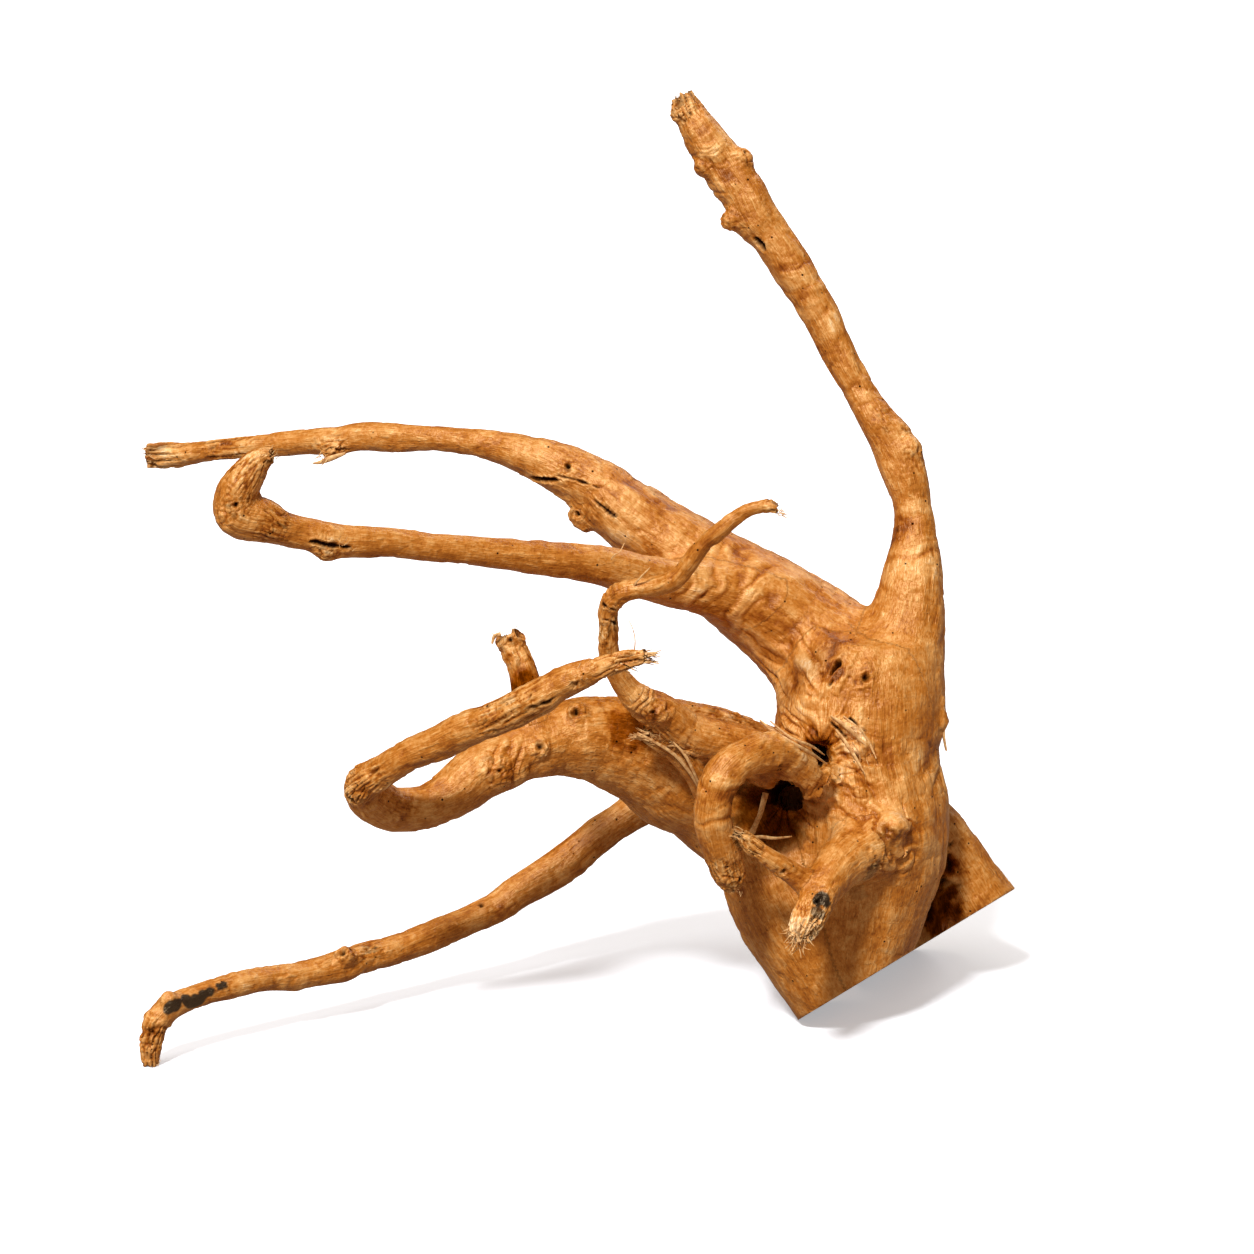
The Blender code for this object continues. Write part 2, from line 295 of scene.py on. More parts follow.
@dataclass(frozen=True)
class Limb:
    """A tapering limb from its broken tip to where it leaves the stump.

    Attributes:
        name: What the limb is.
        web: How widely it webs into the wood listed before it.
        stations: Places on its heart, each (x, y, z, radius).
        torn: How far back from the tip the wood is torn, or 0 for a limb that ends inside the stump.
    """

    name: str
    web: float
    stations: tuple
    torn: float = 0.0

    def path(self) -> Array:
        """Draws the smooth curve through the stations.

        Returns:
            Points on the curve, as rows of x, y, z and the radius.
        """
        places = np.array(self.stations, float)
        guide = np.vstack([2 * places[0] - places[1], places, 2 * places[-1] - places[-2]])
        points = []
        for a, b, c, d in zip(guide, guide[1:], guide[2:], guide[3:]):
            for step in range(PATH_STEPS):
                t = step / PATH_STEPS
                bend = (2 * a - 5 * b + 4 * c - d) * t**2 + (3 * b - a - 3 * c + d) * t**3
                points.append(b + ((c - a) * t + bend) / 2)
        points.append(places[-1])
        return np.array(points)


@dataclass(frozen=True)
class Hollow:
    """A tapering hole that runs from its mouth to its blind end.

    Attributes:
        mouth: The middle of its mouth.
        end: The middle of its blind end.
        mouth_radius: Its radius at the mouth.
        end_radius: Its radius at the blind end.
        lip: How widely its edge is rounded.
    """

    mouth: tuple
    end: tuple
    mouth_radius: float
    end_radius: float
    lip: float


class LimbField:
    """One limb as numbers: how far points lie outside it, and where they lie along and across its grain."""

    def __init__(self, limb: Limb) -> None:
        """Lays out the limb's path and carries a frame along it without twist.

        Args:
            limb: The limb to measure.
        """
        self.limb = limb
        path = limb.path()
        self.heart, self.radius = path[:, :3], path[:, 3]
        runs = np.diff(self.heart, axis=0)
        lengths = np.linalg.norm(runs, axis=1)
        self.along = np.concatenate([[0.0], np.cumsum(lengths)])
        tangents = np.vstack([runs / lengths[:, None], runs[-1:] / lengths[-1]])
        side = np.cross(tangents[0], (0.0, 0.0, 1.0) if abs(tangents[0][2]) < 0.9 else (1.0, 0.0, 0.0))
        self.side = np.zeros_like(self.heart)
        for index, tangent in enumerate(tangents):
            side = side - (side @ tangent) * tangent
            side /= np.linalg.norm(side)
            self.side[index] = side
        self.lift = np.cross(tangents, self.side)
        self.tip_way = -direction(self.heart[2] - self.heart[0])

    def inside(self, points: Array, rows: Array, first: int, last: int, reach: float) -> Array:
        """Picks the rows whose points lie in the box round a stretch of the limb.

        Args:
            points: All the points.
            rows: The rows to pick from.
            first: Where on the path the stretch starts.
            last: Where it ends.
            reach: How far outside the limb the box goes.

        Returns:
            The rows inside.
        """
        span = self.radius[first:last + 1].max() + reach
        low = self.heart[first:last + 1].min(axis=0) - span
        high = self.heart[first:last + 1].max(axis=0) + span
        for axis in range(3):
            values = points[rows, axis]
            rows = rows[(values > low[axis]) & (values < high[axis])]
        return rows

    def measure(
        self, points: Array, reach: float, with_grain: bool = False
    ) -> tuple[Array, Array, Array, Array]:
        """Measures the points that lie near the limb.

        Args:
            points: Rows of three numbers.
            reach: How far outside the limb a point may lie.
            with_grain: Whether the grain coordinates are wanted.

        Returns:
            The rows of the near points, how far they lie outside the limb, the direction away from its
            heart, and their places in the grain: two numbers across and one along.
        """
        rows = self.inside(points, np.arange(len(points)), 0, len(self.heart), reach)
        near = points[rows]
        distance = np.full(len(rows), np.inf)
        away = np.zeros((len(rows), 3))
        grain = np.zeros((len(rows), 3))
        past_tip = (near - self.heart[0]) @ self.tip_way
        for index in range(len(self.heart) - 1):
            if index % STRETCH == 0:
                beside = self.inside(near, np.arange(len(near)), index, index + STRETCH, reach)
            start, end = self.heart[index], self.heart[index + 1]
            r0, r1 = self.radius[index], self.radius[index + 1]
            chosen = self.inside(near, beside, index, index + 1, reach)
            if not len(chosen):
                continue
            run = end - start
            t = np.clip((near[chosen] - start) @ run / (run @ run), 0, 1)
            offset = near[chosen] - start - t[:, None] * run
            outward, length = unit(offset)
            outside = length - r0 - t * (r1 - r0)
            if np.linalg.norm(start - self.heart[0]) < 2 * self.radius[0]:
                beyond = past_tip[chosen] > outside
                outside[beyond] = past_tip[chosen][beyond]
                outward[beyond] = self.tip_way
            nearer = outside < distance[chosen]
            kept = chosen[nearer]
            distance[kept] = outside[nearer]
            away[kept] = outward[nearer]
            if with_grain:
                t, offset = t[nearer], offset[nearer]
                side = self.side[index] + t[:, None] * (self.side[index + 1] - self.side[index])
                lift = self.lift[index] + t[:, None] * (self.lift[index + 1] - self.lift[index])
                grain[kept, 0] = (offset * side).sum(axis=1)
                grain[kept, 1] = (offset * lift).sum(axis=1)
                grain[kept, 2] = self.along[index] + t * (self.along[index + 1] - self.along[index])
        found = distance < reach
        return rows[found], distance[found], away[found], grain[found]


class Shade(Enum):
    """What the finish can be told about a place on the skin.

    Attributes:
        CREVICE: Painted shade inside a crack, hole, pit, gap or torn tip.
        PALE: Rubbed or bare fibre, and a painted highlight on the backs of wrinkles.
        CHAR: Blackened wood.
        TORN: The broken fibre of a tip.
        SAWN: The saw cut, with its growth rings.
        VALLEY_SHADE: Painted shade in the valleys between wrinkles.
        PAINTED_SHADE: Painted shade in wide hollows and clefts, and painted shadows that nearby limbs cast.
    """

    CREVICE = "crevice"
    PALE = "pale"
    CHAR = "char"
    TORN = "torn"
    SAWN = "sawn"
    VALLEY_SHADE = "valley_shade"
    PAINTED_SHADE = "painted_shade"


@dataclass
class Skin:
    """The root's skin while it is worked: its points and what each of them carries.

    Attributes:
        points: The points, in millimetres.
        faces: The triangles, as rows of three point numbers.
        parts: The number of the shown piece that each triangle belongs to.
        out: The direction out of the wood at each point.
        limb: The number of the limb that each point belongs to.
        grain: Each point's place in the grain of its own limb.
        other: Its place in the grain of the next nearest limb.
        mix: How much of the next limb's grain shows there, from 0 to a half.
        cuts: Which joints' planes each point lies on, one column a joint.
        height: How far the marks raise the skin, in millimetres.
        shades: Amounts from 0 to 1 that the finish reads.
    """

    points: Array
    faces: Array
    parts: Array
    out: Array
    limb: Array
    grain: Array
    other: Array
    mix: Array
    cuts: Array
    height: Array
    shades: dict[Shade, Array] = field(default_factory=dict)

    def near(self, place: tuple, reach: float) -> tuple[Array, Array, Array]:
        """Finds the points near a place.

        Args:
            place: The place, in millimetres.
            reach: How far from it a point may lie.

        Returns:
            The rows of the points, their offsets from the place, and their distances.
        """
        offset = self.points - np.array(place, float)
        rows = np.flatnonzero((np.abs(offset) < reach).all(axis=1))
        distance = np.linalg.norm(offset[rows], axis=1)
        kept = distance < reach
        return rows[kept], offset[rows[kept]], distance[kept]

    def near_line(self, line: tuple, width: float) -> tuple[Array, Array, Array]:
        """Finds the points near a bent line.

        Args:
            line: The line's corners, in millimetres.
            width: Half the width of what follows the line.

        Returns:
            The rows of the points, their distances from the line, and their share of the way along it.
        """
        corners = np.array(line, float)
        middle = corners.mean(axis=0)
        reach = np.linalg.norm(corners - middle, axis=1).max() + 4 * width
        rows, _, _ = self.near(tuple(middle), reach)
        gap, share = line_distance(self.points[rows], corners)
        return rows, gap, share

    def shade(self, shade: Shade, rows: Array, amount: Array) -> None:
        """Raises a shade to at least this amount on some points."""
        values = self.shades[shade]
        values[rows] = np.maximum(values[rows], np.clip(amount, 0, 1))

    def emboss(self, rows: Array, rise: float, swell: Array, band: Array) -> None:
        """Raises swells, tints their backs pale as rubbed wood with a painted highlight, and paints shade
        into their valleys.

        Args:
            rows: The rows of the points.
            rise: How high the swells stand over their valleys.
            swell: 1 on the swells' backs and 0 in their valleys.
            band: How much of the relief each point gets.
        """
        self.height[rows] += rise * (swell - 0.5) * band
        self.shade(Shade.PALE, rows, 0.45 * ease(1.8 * swell - 0.8) * band)
        self.shade(Shade.VALLEY_SHADE, rows, 0.9 * ease(0.8 - 2.0 * swell) * band)


# Each mark has its place and its sizes. A width or radius is half of what it measures across, a reach is
# how far from its place it goes, a pitch is one wrinkle's width, and a rise is how high its wrinkles stand.
# An axis is what wrinkles run round, and across is the way from one to the next. A push is how far and
# which way a hollow's middle goes in. Pale, the strength of a dent's painted shade and amount go from 0 to
# 1, and a gnarl's hole is a share of its radius.


@dataclass(frozen=True)
class Pit:
    """A small hole with a raised lip, such as a dead knot or an insect's hole."""

    place: tuple
    radius: float
    depth: float
    lip: float = 0.3

    def work(self, skin: Skin) -> None:
        """Sinks the pit into the skin.

        Args:
            skin: The skin to work on.
        """
        rows, _, distance = skin.near(self.place, 3 * self.radius)
        ragged = distance * (1 + 0.25 * ripple(skin.points[rows] / 1.4, 11))
        core = np.exp(-((ragged / self.radius) ** 4))
        ring = np.exp(-(((ragged - 1.5 * self.radius) / (0.6 * self.radius)) ** 2))
        skin.height[rows] += self.lip * ring - self.depth * core
        # The pit gets painted shade.
        skin.shade(Shade.CREVICE, rows, 1.15 * core)


@dataclass(frozen=True)
class Crack:
    """A ragged split along a line, deepest at its middle."""

    line: tuple
    width: float
    depth: float

    def work(self, skin: Skin) -> None:
        """Opens the crack in the skin.

        Args:
            skin: The skin to work on.
        """
        rows, gap, share = skin.near_line(self.line, self.width)
        taper = np.sqrt(np.clip(4 * share * (1 - share), 0.02, 1))
        near = skin.points[rows]
        gap = np.abs(gap + 0.8 * self.width * ripple(near / 3.6, 22)) * (1 + 0.35 * ripple(near / 1.3, 23))
        core = np.exp(-((gap / (self.width * taper)) ** 4))
        edge = np.exp(-(((gap - 1.7 * self.width) / (0.8 * self.width)) ** 2))
        skin.height[rows] += 0.35 * edge * taper - self.depth * core * taper
        # The crack gets painted shade, and its raised edges turn pale.
        skin.shade(Shade.CREVICE, rows, 1.3 * core * np.sqrt(taper))
        skin.shade(Shade.PALE, rows, 0.5 * edge * taper)


@dataclass(frozen=True)
class Weal:
    """A raised ridge along a line, such as a torn flap of bark."""

    line: tuple
    width: float
    rise: float
    pale: float = 0.7

    def work(self, skin: Skin) -> None:
        """Raises the ridge on the skin.

        Args:
            skin: The skin to work on.
        """
        rows, gap, share = skin.near_line(self.line, self.width)
        taper = np.clip(4 * share * (1 - share), 0, 1) ** 0.3
        gap = gap * (1 + 0.4 * ripple(skin.points[rows] / 2.3, 31))
        core = np.exp(-((gap / self.width) ** 4)) * taper
        skin.height[rows] += self.rise * core * (1 + 0.4 * ripple(skin.points[rows] / 1.6, 37))
        skin.shade(Shade.PALE, rows, self.pale * core)


@dataclass(frozen=True)
class Gather:
    """Wrinkles drawn together round a hollow, as at the mouth of a drawn purse."""

    centre: tuple
    axis: tuple
    inner: float
    outer: float
    count: int
    rise: float

    def work(self, skin: Skin) -> None:
        """Draws the wrinkles round the centre.

        Args:
            skin: The skin to work on.
        """
        rows, offset, distance = skin.near(self.centre, self.outer)
        axis = direction(self.axis)
        side = direction(np.cross(axis, (0.0, 0.0, 1.0)))
        angle = np.arctan2(offset @ np.cross(axis, side), offset @ side)
        angle += 0.35 * ripple(skin.points[rows] / 9, 40)
        ring = self.count / (2 * np.pi)
        places = np.column_stack([ring * np.cos(angle), ring * np.sin(angle), distance / (0.7 * self.outer)])
        swell = 0.7 * wrinkle(places, 41) + 0.3 * wrinkle(1.9 * places, 43)
        band = ease(distance / self.inner - 0.3) * ease(2.6 * (self.outer - distance) / self.outer)
        skin.emboss(rows, self.rise, swell, band)


@dataclass(frozen=True)
class Creases:
    """Uneven wrinkles across a bend, where the wood was squeezed as it grew."""

    centre: tuple
    across: tuple
    reach: float
    pitch: float
    rise: float

    def work(self, skin: Skin) -> None:
        """Draws the wrinkles round the centre.

        Args:
            skin: The skin to work on.
        """
        rows, offset, distance = skin.near(self.centre, self.reach)
        way = direction(self.across)
        side = direction(np.cross(way, skin.out[rows].mean(axis=0)))
        near = skin.points[rows]
        sway = 0.9 * ripple(near / (2.5 * self.pitch), 47) + 0.3 * ripple(near / self.pitch, 53)
        places = np.column_stack([
            (offset @ way + self.pitch * sway) / self.pitch,
            (offset @ side) / (4.5 * self.pitch),
            offset @ np.cross(way, side) / 20,
        ])
        swell = 0.75 * wrinkle(places, 48) + 0.25 * wrinkle(2.1 * places, 49)
        patchy = np.clip(0.8 + 0.6 * ripple(near / 9, 50), 0, 1)
        skin.emboss(rows, self.rise, swell, ease(2.6 * (self.reach - distance) / self.reach) * patchy)


@dataclass(frozen=True)
class Swirl:
    """Grain that curls round the root of a side limb."""

    centre: tuple
    reach: float
    pitch: float
    rise: float

    def work(self, skin: Skin) -> None:
        """Draws broken rings round the centre.

        Args:
            skin: The skin to work on.
        """
        rows, offset, distance = skin.near(self.centre, self.reach)
        near = skin.points[rows]
        way = offset / np.maximum(distance, TINY)[:, None]
        warp = 1.3 * ripple(near / 8, 59) + 0.4 * ripple(near / 3, 60)
        places = np.column_stack([distance / self.pitch + warp, 1.6 * way[:, 0] + 20, 1.6 * way[:, 2]])
        fading = ease((self.reach - distance) / (0.5 * self.reach))
        band = fading * ease(distance / (0.35 * self.reach) - 0.4)
        skin.emboss(rows, self.rise, wrinkle(places, 61), band)


@dataclass(frozen=True)
class Gnarl:
    """A rough dead knot: a lump of twisted wood, split and dark in the middle."""

    place: tuple
    radius: float
    rise: float
    hole: float = 0.35

    def work(self, skin: Skin) -> None:
        """Roughens the skin round the knot.

        Args:
            skin: The skin to work on.
        """
        rows, _, distance = skin.near(self.place, 2.6 * self.radius)
        near = skin.points[rows]
        ragged = distance * (1 + 0.3 * ripple(near / (0.9 * self.radius), 83) + 0.2 * ripple(near / 1.3, 84))
        lump = np.exp(-((ragged / (1.15 * self.radius)) ** 2))
        ring = np.exp(-(((ragged - 0.75 * self.radius) / (0.28 * self.radius)) ** 2))
        twist = np.column_stack([ragged / 1.5, near[:, 0] / 2.4, near[:, 2] / 2.4])
        skin.emboss(rows, 0.7, 0.6 * wrinkle(twist, 85) + 0.4 * wrinkle(near / 2.2, 86), np.sqrt(lump))
        core = np.zeros(len(rows))
        if self.hole:
            core = np.exp(-((ragged / (self.hole * self.radius)) ** 4))
        skin.height[rows] += self.rise * lump + 0.25 * self.rise * ring - 0.8 * self.radius * core
        # The hole gets painted shade, and random darker patches lie on the lump.
        skin.shade(Shade.CREVICE, rows, core + 0.55 * lump * ease(-2.5 * ripple(near / 1.7, 87) - 0.5))


@dataclass(frozen=True)
class Splits:
    """Wood that has split open along its grain, with dark gaps between cords of fibre."""

    place: tuple
    reach: float
    depth: float
    width: float = 1.7

    def work(self, skin: Skin) -> None:
        """Opens the gaps in the skin.

        Args:
            skin: The skin to work on.
        """
        rows, _, distance = skin.near(self.place, self.reach)
        near = skin.points[rows]
        cord = skin.grain[rows] / (self.width, self.width, 9 * self.width)
        cord = cord + 0.25 * ripple(near / 5, 91)[:, None]
        gap = ease(1.0 - 7 * np.abs(ripple(cord, 92))) * ease(0.8 + 2 * ripple(near / 6, 93))
        band = ease(1.5 * (self.reach - distance) / self.reach)
        skin.height[rows] -= self.depth * gap * band
        skin.emboss(rows, 0.5 * self.depth, wrinkle(1.7 * cord, 94), band)
        # The gaps get painted shade.
        skin.shade(Shade.CREVICE, rows, 0.7 * gap * band)


@dataclass(frozen=True)
class Dent:
    """A wide hollow, where the wood grew round something that's gone, darkened with painted shade."""

    place: tuple
    radius: float
    push: tuple
    painted_shade: float = 0.5

    def work(self, skin: Skin) -> None:
        """Pushes the hollow into the skin.

        Args:
            skin: The skin to work on.
        """
        rows, _, distance = skin.near(self.place, 1.6 * self.radius)
        ragged = distance * (1 + 0.12 * ripple(skin.points[rows] / 7, 97))
        bowl = np.exp(-((ragged / self.radius) ** 4))
        skin.points[rows] += np.array(self.push, float) * bowl[:, None]
        skin.shade(Shade.PAINTED_SHADE, rows, self.painted_shade * bowl)


@dataclass(frozen=True)
class StainOrPaintedShade:
    """A patch of another tone with a ragged edge: a real stain where it chars or pales the wood, and painted
    shade where it darkens a hollow, a crack or wood under another limb.
    """

    place: tuple
    reach: float
    shade: Shade
    amount: float = 1.0

    def work(self, skin: Skin) -> None:
        """Tints the patch.

        Args:
            skin: The skin to work on.
        """
        rows, _, distance = skin.near(self.place, self.reach * 2.0)
        # Painted shade fades out over a wider edge than a stain.
        blur = 0.8 if self.shade is Shade.PAINTED_SHADE else 0.35
        near = skin.points[rows]
        ragged = distance * (1 + 0.45 * ripple(near / 3.5, 67) + 0.25 * ripple(near / 1.5, 71))
        skin.shade(self.shade, rows, self.amount * ease((self.reach - ragged) / (blur * self.reach) + 0.5))


@dataclass(frozen=True)
class Knob:
    """A knot as a small ball that stands a little out of its limb."""

    place: tuple
    radius: float


Mark = Pit | Crack | Weal | Gather | Creases | Swirl | Gnarl | Splits | Dent | StainOrPaintedShade


@dataclass(frozen=True)
class Growth:
    """A part of the root with its own limbs, knots and marks.

    Attributes:
        limbs: Its limbs, in the order in which they web together.
        knots: Its knots.
        hollows: Its deep holes.
        marks: What is worked into its skin.
        fine: Balls (x, y, z, radius) in which the skin is drawn twice as fine.
    """

    limbs: tuple[Limb, ...]
    knots: tuple[Knob, ...] = ()
    hollows: tuple[Hollow, ...] = ()
    marks: tuple[Mark, ...] = ()
    fine: tuple[tuple, ...] = ()

    def work(self, skin: Skin) -> None:
        """Works the marks into the skin, one after the other."""
        for mark in self.marks:
            mark.work(skin)


@dataclass(frozen=True)
class Stump(Growth):
    """The thick foot of the root: its lobes, the two dark holes and the wrinkles round them."""

    limbs: tuple[Limb, ...] = (
        Limb("back_lobe", 14, (
            (120, 31, 148, 19), (120, 36, 127, 26), (123, 42, 91, 28), (131, 47, 54, 25),
            (145, 52, 18, 21), (157, 56, -8, 20.5),
        )),
        Limb("core", 14, (
            (120, 22, 130, 24), (122, 24, 100, 25), (129, 25, 62, 23), (136, 27, 22, 22),
            (142, 28, -5, 21),
        )),
        Limb("wing", 6, (
            (139, 24, 85, 10), (155, 26, 63, 12.7), (167, 27, 42, 15.1), (181, 28, 20, 16.9),
        )),
        Limb("bole", 8, (
            (118, 10, 153, 17), (116, 8, 145, 25), (115, 5, 132, 31), (115, 0, 108, 33),
            (119, -6, 80, 34.3), (116, -10, 51, 29.4), (114, -12, 30, 24.6), (121, -12, 8, 21.4),
        )),
        Limb("buttress", 12, (
            (67, -6, 88, 19.5), (78, -10, 73, 21.5), (91, -12, 48, 25), (112, -12, 13, 23),
            (126, -12, -7, 22.3),
        )),
    )
    knots: tuple[Knob, ...] = (
        Knob((127, -42, 91), 6), Knob((117, -17, 148), 3.8), Knob((150, -4, 126), 2.4),
        Knob((33, -56, 143), 3.4),
    )
    hollows: tuple[Hollow, ...] = (
        Hollow((99, -40, 121), (97, 4, 108), 6, 4, 4),
        Hollow((84, -48, 106), (90, 2, 90), 8, 5, 2),
    )
    marks: tuple[Mark, ...] = (
        # The cave under the curl, deepened and darkened with painted shade.
        Dent((79, -27, 92), 12.5, (1, 5.5, 0.5), 1),
        Gather((99, -22, 118), (-0.2, -0.9, 0.4), 6, 29, 26, 1.7),
        Gather((86, -30, 97), (0, -1, 0.1), 6, 17, 15, 1.5),
        Creases((86, -4, 143), (0.25, -0.45, 0.85), 22, 4.6, 2.4),
        Creases((100, -8, 158), (0.5, -0.3, 0.7), 18, 5, 1.6),
        Creases((82, 2, 158), (0.6, -0.2, 0.7), 18, 5.4, 1),
        Creases((98, -40, 111), (0.8, -0.2, -0.5), 13, 3.4, 2),
        Creases((110, -41, 101), (0.3, -0.2, 0.95), 19, 4.2, 2.3),
        Creases((122, -33, 112), (0.5, -0.3, 0.8), 18, 4.4, 1.7),
        Creases((148, -18, 80), (0.8, -0.5, 0.1), 25, 4.8, 1.3),
        Creases((148, -10, 112), (0.4, -0.3, 0.85), 24, 6, 1),
        Swirl((126, -41, 86), 20, 3.8, 1.8),
        Splits((117, -50, 79), 11, 0.6, 1.3),
        Crack(
            ((99, -21, 143), (102, -20, 147), (105, -18, 151), (108, -16, 154), (111, -13, 159)), 0.9, 3.2,
        ),
        Crack(((98, -22, 141), (101, -22, 144), (105, -20, 147)), 0.8, 2),
        # Painted shade darkens the wood by the crack.
        StainOrPaintedShade((104, -19, 150), 5, Shade.VALLEY_SHADE, 0.9),
        Weal(((105, -23, 141), (108, -21, 147), (111, -18, 152), (114, -15, 157)), 1.5, 1.2, 0.5),
        Gnarl((117, -22, 148), 4, 0.5, 0.42),
        Weal(
            ((103, -26, 133), (108, -27, 131), (112, -29, 128), (116, -30, 125), (119, -31, 119)), 2.2, 1.9,
        ),
        Weal(((105, -27, 130), (109, -30, 122), (114, -33, 113)), 1.6, 1.4),
        Weal(((110, -33, 110), (114, -35, 106), (118, -38, 104)), 2.2, 1.2),
        Crack(((103, -26, 131), (107, -28, 128), (111, -31, 123), (115, -33, 115)), 0.7, 1.4),
        Crack(((110, -27, 133), (114, -28, 130), (118, -29, 127)), 0.6, 1.2),
        Crack(((91, -34, 125), (97, -32, 120), (103, -29, 114)), 2, 4),
        # Painted shade darkens the funnel, the insides of both bores and the cave under the curl.
        StainOrPaintedShade((97, -27, 119), 7, Shade.PAINTED_SHADE, 1), StainOrPaintedShade((98, -12, 113), 8.5, Shade.CREVICE),
        StainOrPaintedShade((88, -13, 96), 10, Shade.CREVICE), StainOrPaintedShade((76, -27, 95), 11, Shade.CREVICE, 0.6),
        StainOrPaintedShade((84, -26, 84), 10, Shade.CREVICE, 0.5),
        Weal(((78, -55, 134), (84, -57, 131), (88, -56, 128), (93, -53, 122)), 1.5, 1),
        Weal(((150, -5, 136), (150, -6, 130), (150, -7, 122)), 1.8, 1, 0.1),
        # The cleft between the bole and the wing gets painted shade.
        Crack(((156, 14, 69), (155, 13, 56), (150, 11, 44), (146, 7, 32)), 1.6, 2.6),
        StainOrPaintedShade((151, 13, 38), 9, Shade.PAINTED_SHADE), StainOrPaintedShade((151, 12, 45), 8, Shade.CREVICE, 0.5),
        StainOrPaintedShade((147, 9, 30), 8, Shade.CREVICE, 0.5), StainOrPaintedShade((155, 14, 58), 5, Shade.PAINTED_SHADE),
        StainOrPaintedShade((126, -48, 88), 5.5, Shade.CHAR, 0.25), StainOrPaintedShade((119, -53, 78), 4, Shade.CHAR, 0.5),
        StainOrPaintedShade((113, -42, 64), 4, Shade.CHAR, 0.25),
    )
    fine: tuple[tuple, ...] = ((102, -29, 121, 30), (86, -30, 96, 20), (124, -44, 86, 20))


